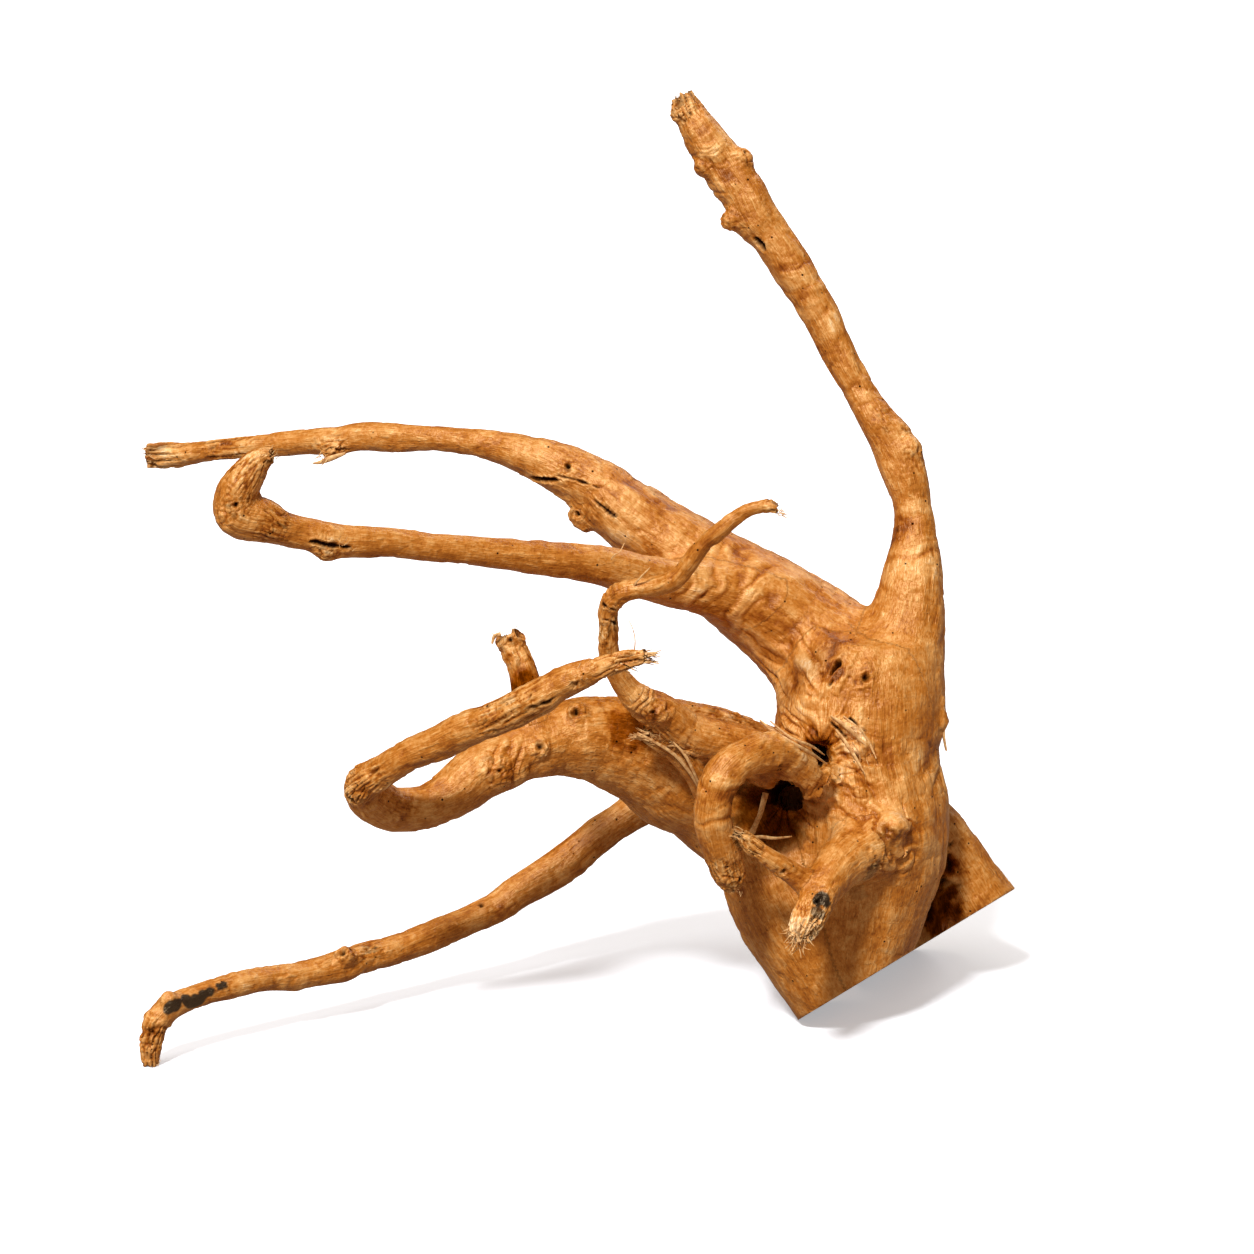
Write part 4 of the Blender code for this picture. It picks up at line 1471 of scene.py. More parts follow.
    def along_grain(self, tree: Tree, width: float, stretch: float, detail: float) -> Socket:
        """Adds a noise drawn out along the grain.

        Args:
            tree: The material's tree.
            width: The width of one streak, in millimetres.
            stretch: How many times longer than wide it is.
            detail: How much finer noise it holds.

        Returns:
            The noise's value, blended between the two nearest limbs' grain.
        """
        scale = (1 / width, 1 / width, 1 / (width * stretch))
        values = []
        for name in ("grain", "other_grain"):
            place = add_node(tree, "ShaderNodeAttribute", {"attribute_name": name}).outputs["Vector"]
            values.append(self.noise(tree, place, scale, detail, 0.55))
        mix = add_node(tree, "ShaderNodeAttribute", {"attribute_name": "grain_mix"}).outputs["Fac"]
        return add_node(tree, "ShaderNodeMix", i0=mix, i2=values[0], i3=values[1]).outputs[0]

    def pores(self, tree: Tree, place: Socket) -> Socket:
        """Adds scattered pinholes.

        Args:
            tree: The material's tree.
            place: Where they are read, in Object coordinates.

        Returns:
            How deep a place lies in a pinhole, from 0 to 1.
        """
        scale = swells(self.pore_mm)
        scaled = add_node(tree, "ShaderNodeVectorMath", {"operation": "MULTIPLY"}, i0=place, i1=scale)
        cells = add_node(tree, "ShaderNodeTexVoronoi", Vector=scaled.outputs[0], Scale=1.0)
        hole = add_node(
            tree, "ShaderNodeMapRange", Value=cells.outputs["Distance"], i1=0.06, i2=0.12, i3=1.0, i4=0.0
        ).outputs[0]
        # About one cell in three has a pinhole.
        pick = add_node(
            tree, "ShaderNodeMath", {"operation": "GREATER_THAN"}, i0=cells.outputs["Color"], i1=0.62
        ).outputs[0]
        return add_node(tree, "ShaderNodeMath", {"operation": "MULTIPLY"}, i0=hole, i1=pick).outputs[0]

    def rings(self, tree: Tree, place: Socket) -> Socket:
        """Adds growth rings round the stump's heart, which show on the sawn face.

        Args:
            tree: The material's tree.
            place: Where they are read, in Object coordinates.

        Returns:
            0 on a ring's dark part and 1 on its pale part.
        """
        from_heart = add_node(
            tree, "ShaderNodeVectorMath", {"operation": "SUBTRACT"}, i0=place, i1=self.heart
        ).outputs[0]
        reach = add_node(tree, "ShaderNodeVectorMath", {"operation": "LENGTH"}, i0=from_heart)
        wander = self.noise(tree, place, swells(self.ring_patch_mm), 3.0, 0.5)
        # 6.28 is one full turn of the wave, and the rings wander by up to five of them.
        terms = ((reach.outputs["Value"], 6.28 / (self.ring_mm * MM)), (wander, 34.0))
        turns = self.weighed(tree, terms, 0.0)
        wave = add_node(tree, "ShaderNodeMath", {"operation": "SINE"}, i0=turns).outputs[0]
        return self.weighed(tree, ((wave, 0.5),), 0.5)


@dataclass(frozen=True)
class StudioPaper:
    """Backdrop paper: rolled, matt and white, which gives the eye soft shadows and no gloss.

    Attributes:
        white: What the camera sees.
        bounce: How much of the light the paper throws back onto the root.
        glow: How far the exposure lifts the paper for the camera, as over-lit paper looks.
    """

    white: str = "#eff2f7"
    bounce: str = "#8c7f70"
    glow: float = 0.42

    def material(self) -> bpy.types.Material:
        """Builds the material.

        Returns:
            The material.
        """
        paper = bpy.data.materials.new("backdrop_paper")
        paper.use_nodes = True
        tree = paper.node_tree
        tree.nodes.remove(tree.nodes["Principled BSDF"])
        lit = add_node(tree, "ShaderNodeBsdfDiffuse", Color=colour(self.white))
        lift = add_node(tree, "ShaderNodeEmission", Color=colour(self.white), Strength=self.glow)
        seen = add_node(tree, "ShaderNodeAddShader", i0=lit.outputs[0], i1=lift.outputs[0])
        thrown = add_node(tree, "ShaderNodeBsdfDiffuse", Color=colour(self.bounce))
        ray = add_node(tree, "ShaderNodeLightPath").outputs["Is Camera Ray"]
        mix = add_node(tree, "ShaderNodeMixShader", i0=ray, i1=thrown.outputs[0], i2=seen.outputs[0])
        tree.links.new(mix.outputs[0], tree.nodes["Material Output"].inputs["Surface"])
        return paper


@dataclass
class Root:
    """The whole root: it draws the skin, works it, and parts it into closed pieces.

    Attributes:
        stump: The stump.
        upper_arms: The three arms above.
        lower_limbs: The lower branch and the leg.
        rootlets: The thin roots in front.
        saw: The saw cut.
        joints: Where the shown pieces part.
        finish: The wood's finish.
    """

    stump: Stump
    upper_arms: UpperArms
    lower_limbs: LowerLimbs
    rootlets: Rootlets
    saw: SawCut
    joints: tuple[Joint, ...]
    finish: PeeledRootWood

    def build(self) -> list[bpy.types.Object]:
        """Builds every piece of the root.

        Returns:
            The pieces' objects, dressed and riding on the root's body.
        """
        growths = [self.stump, self.lower_limbs, self.upper_arms, self.rootlets]
        wood = WoodField(growths, self.saw)
        points, faces = self.fresh_skin()
        centres = points[faces].mean(axis=1)
        chosen = np.zeros(len(faces), bool)
        for *place, radius in (ball for growth in growths for ball in growth.fine):
            chosen |= np.linalg.norm(centres - place, axis=1) < radius
        points, faces = refined(points, faces, chosen)
        points, out = self.press(points, wood)
        for joint in self.joints:
            points, faces, out = self.sliced(points, faces, out, joint)
        LOG.info("skin: %d points", len(points))
        skin = self.read(points, faces, out, wood)
        self.weather(skin, wood)
        for growth in growths:
            growth.work(skin)
        skin.points = skin.points + skin.out * skin.height[:, None]
        return self.pieces(skin, wood)

    def fresh_skin(self) -> tuple[Array, Array]:
        """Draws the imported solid's skin again with small even faces.

        Returns:
            The points in millimetres, and the triangles.
        """
        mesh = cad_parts[NODE].data.copy()
        merged = bmesh.new()
        merged.from_mesh(mesh)
        bmesh.ops.remove_doubles(merged, verts=merged.verts, dist=1e-6)
        merged.to_mesh(mesh)
        merged.free()
        obj = linked("skin", mesh)
        remesh = obj.modifiers.new("even_faces", "REMESH")
        remesh.mode = "VOXEL"
        remesh.voxel_size = VOXEL * MM
        apply_modifiers(obj)
        fine = obj.data
        fine.calc_loop_triangles()
        points = np.empty(len(fine.vertices) * 3)
        faces = np.empty(len(fine.loop_triangles) * 3, np.int32)
        fine.vertices.foreach_get("co", points)
        fine.loop_triangles.foreach_get("vertices", faces)
        bpy.data.objects.remove(obj)
        return points.reshape(-1, 3) / MM, faces.reshape(-1, 3)

    @staticmethod
    def press(points: Array, wood: WoodField) -> tuple[Array, Array]:
        """Moves the skin onto the grown wood.

        Args:
            points: The skin's points.
            wood: The wood's field.

        Returns:
            The moved points, and the direction out of the wood at each.
        """
        for _ in range(PRESS_ROUNDS):
            depth, out = wood.skin(points)
            steepness = np.maximum((out**2).sum(axis=1), LEAST_STEEPNESS)
            points = points - out * (np.clip(depth, -2, 2) / steepness)[:, None]
        return points, unit(out)[0]

    @staticmethod
    def sliced(points: Array, faces: Array, out: Array, joint: Joint) -> tuple[Array, Array, Array]:
        """Splits the triangles that a joint's cut crosses, so that the cut runs along their edges.

        Args:
            points: The skin's points.
            faces: The skin's triangles.
            out: The direction out of the wood at each point.
            joint: The cut.

        Returns:
            The points, triangles and directions with the cut drawn in.
        """
        place, way = np.array(joint.point, float), direction(joint.way)
        side = (points - place) @ way
        inside = np.linalg.norm(points - place, axis=1) < joint.reach
        snapped = inside & (np.abs(side) < SNAP)
        points = points - np.where(snapped, side, 0.0)[:, None] * way
        side = np.where(snapped, 0.0, side)
        corner = side[faces]
        crossed = (corner.min(axis=1) < 0) & (corner.max(axis=1) > 0) & inside[faces].all(axis=1)
        kept, cut = faces[~crossed], faces[crossed]
        edges = np.sort(np.concatenate([cut[:, [0, 1]], cut[:, [1, 2]], cut[:, [2, 0]]]), axis=1)
        edges = np.unique(edges[side[edges[:, 0]] * side[edges[:, 1]] < 0], axis=0)
        share = side[edges[:, 0]] / (side[edges[:, 0]] - side[edges[:, 1]])
        fresh = points[edges[:, 0]] + share[:, None] * (points[edges[:, 1]] - points[edges[:, 0]])
        fresh_out = unit(out[edges[:, 0]] + share[:, None] * (out[edges[:, 1]] - out[edges[:, 0]]))[0]
        number = {(a, b): len(points) + i for i, (a, b) in enumerate(edges.tolist())}
        split = []
        for face in cut.tolist():
            ring = []
            for a, b in zip(face, face[1:] + face[:1]):
                ring.append(a)
                middle = number.get((min(a, b), max(a, b)))
                if middle is not None:
                    ring.append(middle)
            on_cut = [i for i, v in enumerate(ring) if v >= len(points) or side[v] == 0]
            ring = ring[on_cut[0]:] + ring[:on_cut[0]]
            turn = (on_cut[1] - on_cut[0]) % len(ring)
            for part in (ring[:turn + 1], ring[turn:] + ring[:1]):
                split += [(part[0], part[i], part[i + 1]) for i in range(1, len(part) - 1)]
        faces = np.vstack([kept, np.array(split, kept.dtype)])
        return np.vstack([points, fresh]), faces, np.vstack([out, fresh_out])

    def read(self, points: Array, faces: Array, out: Array, wood: WoodField) -> Skin:
        """Reads the grain onto the skin.

        Args:
            points: The skin's points.
            faces: The skin's triangles.
            out: The direction out of the wood at each point.
            wood: The wood's field.

        Returns:
            The skin, ready to be worked.
        """
        owner, grain, other, mix = wood.grain(points)
        parts = self.parted(points, faces, wood)
        sides = [np.abs((points - joint.point) @ direction(joint.way)) for joint in self.joints]
        cuts = np.column_stack(sides) < 1.1 * SNAP
        skin = Skin(points, faces, parts, out, owner, grain, other, mix, cuts, np.zeros(len(points)))
        skin.shades = {shade: np.zeros(len(points)) for shade in Shade}
        skin.shades[Shade.SAWN] = (wood.sawn(points) > -0.15).astype(float)
        return skin

    def weather(self, skin: Skin, wood: WoodField) -> None:
        """Gives the whole skin its lumps, flutes and fibres, and tears the tips.

        Args:
            skin: The skin to work on.
            wood: The wood's field.
        """
        p, grain = skin.points, skin.grain
        # Lumps of three widths all over, then flutes and finer cords that run along the grain.
        lumps = 0.4 * ripple(p / 13, 1) + 0.24 * ripple(p / 6, 2) + 0.12 * ripple(p / 2.8, 3)
        flutes = self.mixed_ripple(skin, (4.0, 4.0, 30.0), 4)
        cords = self.mixed_ripple(skin, (1.9, 1.9, 16.0), 5)
        skin.height += lumps + 0.32 * flutes + 0.14 * cords
        # Here and there the wood was squeezed into low wrinkles, with a painted highlight on their backs and
        # painted shade in their valleys, and small dents lie all over it.
        every = np.arange(len(p))
        patchy = np.clip(0.55 + 1.1 * ripple(p / 17, 8), 0.12, 1)
        squeezed = wrinkle(grain / (4.6, 4.6, 6.5) + 0.6 * ripple(p / 7, 9)[:, None], 10)
        skin.emboss(every, 1.2, squeezed, patchy * (1 - skin.mix) * 0.3)
        dents = ease((ripple(p / 4.2, 6) - 0.35) / 0.3)
        skin.height -= 0.3 * dents
        for number, limb in enumerate(wood.limbs):
            if limb.limb.torn:
                self.tear(skin, number, limb)
        sawn = skin.shades[Shade.SAWN] > 0.5
        skin.height[sawn] = 0.05 * ripple(p[sawn] / 2.0, 7)

    @staticmethod
    def mixed_ripple(skin: Skin, pitch: tuple, seed: int) -> Array:
        """Gives ripples in the grain, blended where two limbs meet."""
        own, next_limb = ripple(skin.grain / pitch, seed), ripple(skin.other / pitch, seed)
        return own * (1 - skin.mix) + next_limb * skin.mix

    @staticmethod
    def tear(skin: Skin, number: int, limb: LimbField) -> None:
        """Tears a limb's tip into fibres.

        Args:
            skin: The skin to work on.
            number: The limb's number.
            limb: The limb.
        """
        # Cords of fibre stand out more towards the tip, with gaps between them, and its end is hollow.
        reach = limb.limb.torn
        start = GRAIN_GAP * number
        rows = np.flatnonzero((skin.limb == number) & (skin.grain[:, 2] - start < reach))
        share = 1 - (skin.grain[rows, 2] - start) / reach
        grain = skin.grain[rows]
        cords = ripple(grain / (1.5, 1.5, 12.0), 73) + 0.5 * ripple(grain / (0.9, 0.9, 8.0), 79)
        gaps = ease(1.4 - 5 * np.abs(ripple(grain / (2.6, 2.6, 22.0), 80))) * ease(1.6 * share)
        skin.height[rows] += 0.8 * share * (cords - 0.35) - 1.1 * gaps
        facing = np.clip(skin.out[rows] @ limb.tip_way, 0, 1)
        radius = np.linalg.norm(grain[:, :2], axis=1) / limb.radius[0]
        hollow = ease(1.5 - 1.6 * radius) * facing
        jag = ripple(grain[:, :2] @ np.array([[0.55, 0, 0], [0, 0.55, 0]]) + start, 81)
        skin.points[rows] -= limb.tip_way * (facing * (1.1 - 1.7 * jag) + 1.6 * hollow)[:, None]
        skin.shade(Shade.TORN, rows, share)
        skin.shade(Shade.PALE, rows, 0.8 * share * np.clip(cords, 0, 1))
        between = 0.4 * share * ease(-1.6 * cords - 0.3)
        # The gaps, the hollow end and the hollows between the cords get painted shade.
        skin.shade(Shade.CREVICE, rows, 0.6 * gaps + 0.7 * hollow + between)

    def pieces(self, skin: Skin, wood: WoodField) -> list[bpy.types.Object]:
        """Parts the skin at its joints into closed pieces.

        Args:
            skin: The worked skin.
            wood: The wood's field.

        Returns:
            The pieces' objects.
        """
        low, high = (np.array(corner) / MM for corner in CAD_BOX)
        skin.points = np.clip(skin.points, low, high)
        normals, flat = self.normals(skin, wood)
        material = self.finish.material()
        made = []
        for index, name in enumerate(["stump_crown", *[joint.name for joint in self.joints]]):
            chosen = skin.parts == index
            made.append(self.piece(name, skin, skin.faces[chosen], flat[chosen], normals, wood, material))
        return made

    def parted(self, points: Array, faces: Array, wood: WoodField) -> Array:
        """Sorts the triangles into the shown pieces.

        Args:
            points: The skin's points, with every cut drawn in.
            faces: The skin's triangles.
            wood: The wood's field.

        Returns:
            The number of each triangle's piece: 0 for the stump's crown, then the joints in order.
        """
        names = [limb.limb.name for limb in wood.limbs]
        parts = np.zeros(len(faces), int)
        middle = points[faces].mean(axis=1)
        for index, joint in enumerate(self.joints, 1):
            beyond = (middle - joint.point) @ np.array(joint.way, float) > 0
            if joint.limbs:
                near = np.zeros(len(points), bool)
                for name in joint.limbs:
                    near[wood.limbs[names.index(name)].measure(points, 6.0)[0]] = True
                beyond &= near[faces[:, 0]]
            parts[beyond & (parts == 0)] = index
        return parts

    @staticmethod
    def normals(skin: Skin, wood: WoodField) -> tuple[Array, Array]:
        """Works out smooth shading over the whole skin, so that it runs on across the joints.

        Args:
            skin: The worked skin.
            wood: The wood's field.

        Returns:
            The shading direction at each point, and which triangles lie flat on the saw cut.
        """
        corners = skin.points[skin.faces]
        across = np.cross(corners[:, 1] - corners[:, 0], corners[:, 2] - corners[:, 0])
        flat = (skin.shades[Shade.SAWN][skin.faces] > 0.5).all(axis=1)
        total = np.zeros((len(skin.points), 3))
        for axis in range(3):
            for corner in range(3):
                total[:, axis] += np.bincount(
                    skin.faces[~flat, corner], weights=across[~flat, axis], minlength=len(skin.points)
                )
        lone = np.abs(total).sum(axis=1) < TINY
        total[lone] = wood.saw_normal
        return unit(total)[0], flat

    @staticmethod
    def simple_rings(open_edges: Array) -> list[Array]:
        """Strings a piece's open edges into rings, none of which meets a point twice.

        Args:
            open_edges: The edges with a triangle on one side only, as pairs of point numbers.

        Returns:
            The rings, which run the way that a closing face needs.
        """
        following: dict[int, list[int]] = {}
        for a, b in open_edges.tolist():
            following.setdefault(b, []).append(a)
        rings = []
        while following:
            path = [next(iter(following))]
            while path:
                step = following[path[-1]].pop()
                if not following[path[-1]]:
                    del following[path[-1]]
                if step not in path:
                    path.append(step)
                    continue
                place = path.index(step)
                rings.append(np.array(path[place:]))
                path = path[:place + 1] if place else []
        return rings

    @staticmethod
    def flat_rings(ring: Array, cuts: Array) -> list[Array]:
        """Parts a ring that runs round two cuts into a flat ring for each, which meet on a straight edge.

        Args:
            ring: The ring's point numbers, in order.
            cuts: Which joints' planes each of them lies on.

        Returns:
            The flat rings.
        """
        shared = cuts & np.roll(cuts, -1, axis=0)
        cut = shared[0].argmax()
        labels = []
        for row in shared:
            if not row[cut] and row.any():
                cut = row.argmax()
            labels.append(cut)
        turns = [i for i in range(len(ring)) if labels[i] != labels[i - 1]]
        if len(turns) != 2 or min(turns[1] - turns[0], len(ring) - turns[1] + turns[0]) < 2:
            return [ring]
        first, last = turns
        return [ring[first:last + 1], np.concatenate([ring[last:], ring[:first + 1]])]

    @staticmethod
    def piece(
        name: str, skin: Skin, faces: Array, flat: Array, normals: Array, wood: WoodField,
        material: bpy.types.Material,
    ) -> bpy.types.Object:
        """Makes one closed piece from its triangles.

        Args:
            name: The piece's name.
            skin: The worked skin.
            faces: The piece's triangles.
            flat: Which of them lie on the saw cut.
            normals: The shading direction at each point of the skin.
            wood: The wood's field.
            material: The finish.

        Returns:
            The piece's object.
        """
        used, local = np.unique(faces, return_inverse=True)
        local = local.reshape(-1, 3)
        count = len(used)
        forward = np.concatenate([local[:, [0, 1]], local[:, [1, 2]], local[:, [2, 0]]]).astype(np.int64)
        open_edges = forward[~np.isin(forward @ (count, 1), forward[:, ::-1] @ (count, 1))]
        caps = []
        for ring in Root.simple_rings(open_edges):
            caps += Root.flat_rings(ring, skin.cuts[used[ring]])
        corners = np.concatenate([local.ravel(), *caps]).astype(np.int32)
        sizes = np.array([3] * len(local) + [len(cap) for cap in caps])
        starts = np.concatenate([[0], np.cumsum(sizes)[:-1]]).astype(np.int32)
        mesh = bpy.data.meshes.new(name)
        mesh.vertices.add(count)
        mesh.vertices.foreach_set("co", (skin.points[used] * MM).astype(np.float32).ravel())
        mesh.loops.add(len(corners))
        mesh.loops.foreach_set("vertex_index", corners)
        mesh.polygons.add(len(sizes))
        mesh.polygons.foreach_set("loop_start", starts)
        mesh.update(calc_edges=True)
        mesh.polygons.foreach_set("use_smooth", np.ones(len(sizes), bool))
        shading = normals[used][corners]
        shading[:len(flat) * 3][np.repeat(flat, 3)] = wood.saw_normal
        mesh.normals_split_custom_set(shading.tolist())
        for key, values in (("grain", skin.grain), ("other_grain", skin.other)):
            layer = mesh.attributes.new(key, "FLOAT_VECTOR", "POINT")
            layer.data.foreach_set("vector", values[used].astype(np.float32).ravel())
        amounts = {"grain_mix": skin.mix, **{shade.value: values for shade, values in skin.shades.items()}}
        for key, values in amounts.items():
            layer = mesh.attributes.new(key, "FLOAT", "POINT")
            layer.data.foreach_set("value", values[used].astype(np.float32))
        mesh.materials.append(material)
        obj = linked(name, mesh)
        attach(obj, "root")
        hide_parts(NODE)
        LOG.info("%s: %d triangles, %d joint faces", name, len(faces), len(caps))
        return obj


@dataclass(frozen=True)
class TornFibre(Finish):
    """Bare root fibre, torn and dried, which gives the eye pale dull hairs that darken where they have aged.

    Attributes:
        aged: The darker tone.
        fresh: The palest tone.
        mottle_mm: The width of the tone's swells.
        roughness: How dull the fibres are.
    """

    aged: str = "#b07338"
    fresh: str = "#ecc285"
    mottle_mm: float = 1.8
    roughness: float = 0.62

    def material(self) -> bpy.types.Material:
        """Builds the material.

        Returns:
            The material.
        """
        fibre = bpy.data.materials.new("torn_wood_fibre")
        fibre.use_nodes = True
        tree = fibre.node_tree
        shader = tree.nodes["Principled BSDF"]
        place = add_node(tree, "ShaderNodeTexCoord").outputs["Object"]
        tone = self.noise(tree, place, swells(self.mottle_mm), 3.0, 0.6)
        base = self.ramped(tree, tone, ((0.3, self.aged), (0.68, self.fresh)))
        tree.links.new(base, shader.inputs["Base Color"])
        shader.inputs["Roughness"].default_value = self.roughness
        shader.inputs["IOR"].default_value = 1.5
        return fibre


@dataclass(frozen=True)
class Tuft:
    """A bunch of torn fibres at a broken tip.

    Attributes:
        place: The middle of the bunch.
        lean: Which way the fibres point.
        spread: How far from the middle they start.
        length: How long the longest are.
        count: How many there are.
        ragged: How far they stray from the lean.
    """

    place: tuple
    lean: tuple
    spread: float
    length: float
    count: int
    ragged: float = 0.45


@dataclass(frozen=True)
class Sliver:
    """A splinter, root hair or strip of bark that stands off the wood.

    Attributes:
        stations: Places along it, each (x, y, z, half width).
    """

    stations: tuple


@dataclass(frozen=True)
class Shreds:
    """Everything torn that stands off the root: tufts of fibre at the broken tips, splinters and hairs.

    Attributes:
        tufts: The bunches of fibre.
        slivers: The single splinters.
        slimness: A fibre's radius as a share of its length.
        flatness: A splinter's thickness as a share of its width.
        sides: How many sides a fibre has.
        sliver_sides: How many sides a splinter has.
        seed: Fixes the random draw.
        finish: The finish.
    """

    tufts: tuple[Tuft, ...] = (
        Tuft((45, 68, 367), (-0.6, -0.5, 0.5), 3.6, 4, 22),
        Tuft((-182, 110, 212), (-0.9, -0.3, 0.1), 3.4, 4, 26, 0.3),
        Tuft((-114, -62, 245), (0.5, -0.2, 0.9), 2.6, 3.4, 20),
        Tuft((-105, 71, 219), (-0.6, -0.4, -0.5), 2.2, 5, 12, 0.5),
        Tuft((28, -117, 181), (0.95, 0.1, -0.1), 2, 7, 34, 0.42),
        Tuft((20, -117, 178), (0.9, -0.2, -0.3), 2.4, 7, 14, 0.4),
        Tuft((4, -115, 174), (0.8, -0.2, 0.6), 2, 4, 8, 0.5),
        Tuft((-29, -25, 166), (-0.7, -0.3, 0.2), 2, 2.6, 16, 0.7),
        Tuft((-21, -24, 168), (0.4, -0.3, 0.5), 1.6, 1.8, 12, 0.8),
        Tuft((65, -66, 74), (0.4, -0.5, -0.7), 2.6, 2.6, 18, 0.7),
        Tuft((89, -85, 60), (-0.1, -0.3, -0.8), 3.4, 4.6, 70, 0.7),
        Tuft((92, -84, 65), (-0.1, -0.7, -0.6), 3.4, 3.2, 50, 0.8),
        Tuft((86, -83, 63), (-0.8, -0.2, -0.5), 2, 3.6, 24, 0.6),
        Tuft((66, -75, 99), (-0.7, -0.2, 0.5), 1.8, 4, 18, 0.4),
        Tuft((29, -51, 132), (-0.9, -0.3, 0.2), 1.8, 6, 34, 0.35),
        Tuft((41, -50, 129), (-0.8, -0.4, 0.3), 1.6, 5, 18, 0.45),
        Tuft((34, -52, 131), (-0.7, -0.6, 0.4), 2, 4, 16, 0.5),
        Tuft((79, -85, 229), (0.8, -0.1, -0.5), 1.6, 3.2, 18, 0.6),
        Tuft((112, -31, 127), (0.6, -0.2, -0.8), 4, 4, 16, 0.25),
        Tuft((116, -33, 120), (0.4, -0.2, -0.9), 3, 4, 10, 0.3),
        Tuft((80, -55, 134), (0.8, -0.2, -0.5), 3, 4, 8, 0.25),
        Tuft((-165, -66, 3), (-0.2, -0.5, 0.2), 2.4, 2.4, 20, 0.8),
        Tuft((15, -69, 190), (0.2, -0.8, 0.4), 3, 2.6, 10, 0.7),
        Tuft((-86, -60, 212), (0.5, -0.6, 0.5), 3, 3, 8, 0.5),
    )
    slivers: tuple[Sliver, ...] = (
        Sliver(((66, -72, 97, 0.5), (74.8, -62, 94.2, 0.7), (79.9, -58, 92.4, 0.6), (87, -50, 90.6, 0.3))),
        Sliver(((77.5, -28, 102, 1.9), (75.5, -30, 94.5, 1.6), (73.9, -31, 90.8, 1.5), (72, -28, 85, 2))),
        Sliver((
            (24.5, -114, 181, 0.5), (25, -115, 186.6, 0.35),
            (24.2, -115, 191.2, 0.3), (22.7, -114, 194.2, 0.2),
        )),
        Sliver(((16, -68, 207, 0.4), (17.1, -71, 209.2, 0.35), (19.3, -72, 211, 0.25), (21, -71, 214, 0.2))),
        Sliver(((24, -72, 197, 0.6), (27.3, -76, 202, 0.4), (30.7, -78, 206, 0.25))),
        Sliver(((103, -28, 134, 0.4), (107, -31, 132, 0.9), (112, -32.5, 128, 1), (117, -33, 123, 0.3))),
        Sliver((
            (108, -28.5, 134, 0.3), (113, -30.5, 130, 0.8),
            (118, -31.5, 124, 0.7), (121, -34, 118, 0.2),
        )),
        Sliver(((105, -30, 129, 0.4), (109, -32, 124, 0.8), (113, -34, 118, 0.7), (116, -36, 113, 0.2))),
        Sliver((
            (74, -49, 138, 0.4), (80, -53, 134, 0.9), (87, -55, 130, 1),
            (94, -50.5, 125, 0.8), (101, -42, 118, 0.3),
        )),
        Sliver(((78, -50, 138, 0.3), (86, -53, 132, 0.6), (94, -50.5, 128, 0.6), (100, -43, 122, 0.2))),
        Sliver(((149.5, -5, 134, 0.5), (150.2, -6, 127, 1), (150.2, -6, 120, 1), (151.5, -5, 113, 0.7))),
        Sliver(((-28, -26, 167, 0.9), (-30.5, -26, 166, 0.8), (-31.5, -26, 163, 0.4))),
        Sliver(((-96, 70, 221, 0.6), (-102, 69, 219, 1.2), (-107, 70, 217, 0.8), (-110, 71, 216.5, 0.3))),
        Sliver((
            (26, -53, 134, 0.4), (33, -52.5, 130, 0.6), (41, -50.5, 124, 0.7),
            (48, -47, 114, 0.6), (53, -42, 102, 0.3),
        )),
        Sliver(((40, -52, 130, 0.3), (45, -51, 124, 0.6), (49, -49, 115, 0.5), (52, -45, 107, 0.2))),
    )
    slimness: float = 0.075
    flatness: float = 0.4
    sides: int = 6
    sliver_sides: int = 8
    seed: int = 5
    finish: TornFibre = TornFibre()

    @staticmethod
    def started(name: str, inputs: tuple[tuple[str, str], ...]) -> tuple[Tree, Any]:
        """Starts a tree with named inputs.

        Args:
            name: The tree's name.
            inputs: Pairs of an input's name and its type.

        Returns:
            The tree, and the sockets that carry its inputs.
        """
        tree = bpy.data.node_groups.new(name, "GeometryNodeTree")
        tree.interface.new_socket("Geometry", in_out="INPUT", socket_type="NodeSocketGeometry")
        for label, kind in inputs:
            tree.interface.new_socket(label, in_out="INPUT", socket_type=kind)
        tree.interface.new_socket("Geometry", in_out="OUTPUT", socket_type="NodeSocketGeometry")
        return tree, add_node(tree, "NodeGroupInput").outputs

    @staticmethod
    def ended(tree: Tree, shape: Socket, material: Socket) -> None:
        """Ends a tree with smooth, real, finished faces.

        Args:
            tree: The tree.
            shape: What it has grown.
            material: The finish.
        """
        smooth = add_node(tree, "GeometryNodeSetShadeSmooth", Geometry=shape)
        real = add_node(tree, "GeometryNodeRealizeInstances", Geometry=smooth.outputs[0])
        dressed = add_node(tree, "GeometryNodeSetMaterial", Geometry=real.outputs[0], Material=material)
        add_node(tree, "NodeGroupOutput", i0=dressed.outputs[0])

    def tuft_tree(self) -> Tree:
        """Builds the tree that grows bent tapering fibres from points.

        Returns:
            The tree. Its points carry lean, spread, length and ragged.
        """
        tree, given = self.started("torn_tufts", (
            ("Slimness", "NodeSocketFloat"), ("Sides", "NodeSocketInt"), ("Seed", "NodeSocketInt"),
            ("Material", "NodeSocketMaterial"),
        ))
        points = add_node(tree, "GeometryNodeMeshToPoints", Mesh=given["Geometry"]).outputs[0]
        vector = {"data_type": "FLOAT_VECTOR"}
        number = {"data_type": "FLOAT"}
        read = {}
        for name, kind in (("lean", vector), ("spread", number), ("length", number), ("ragged", number)):
            read[name] = add_node(tree, "GeometryNodeInputNamedAttribute", kind, Name=name).outputs[0]
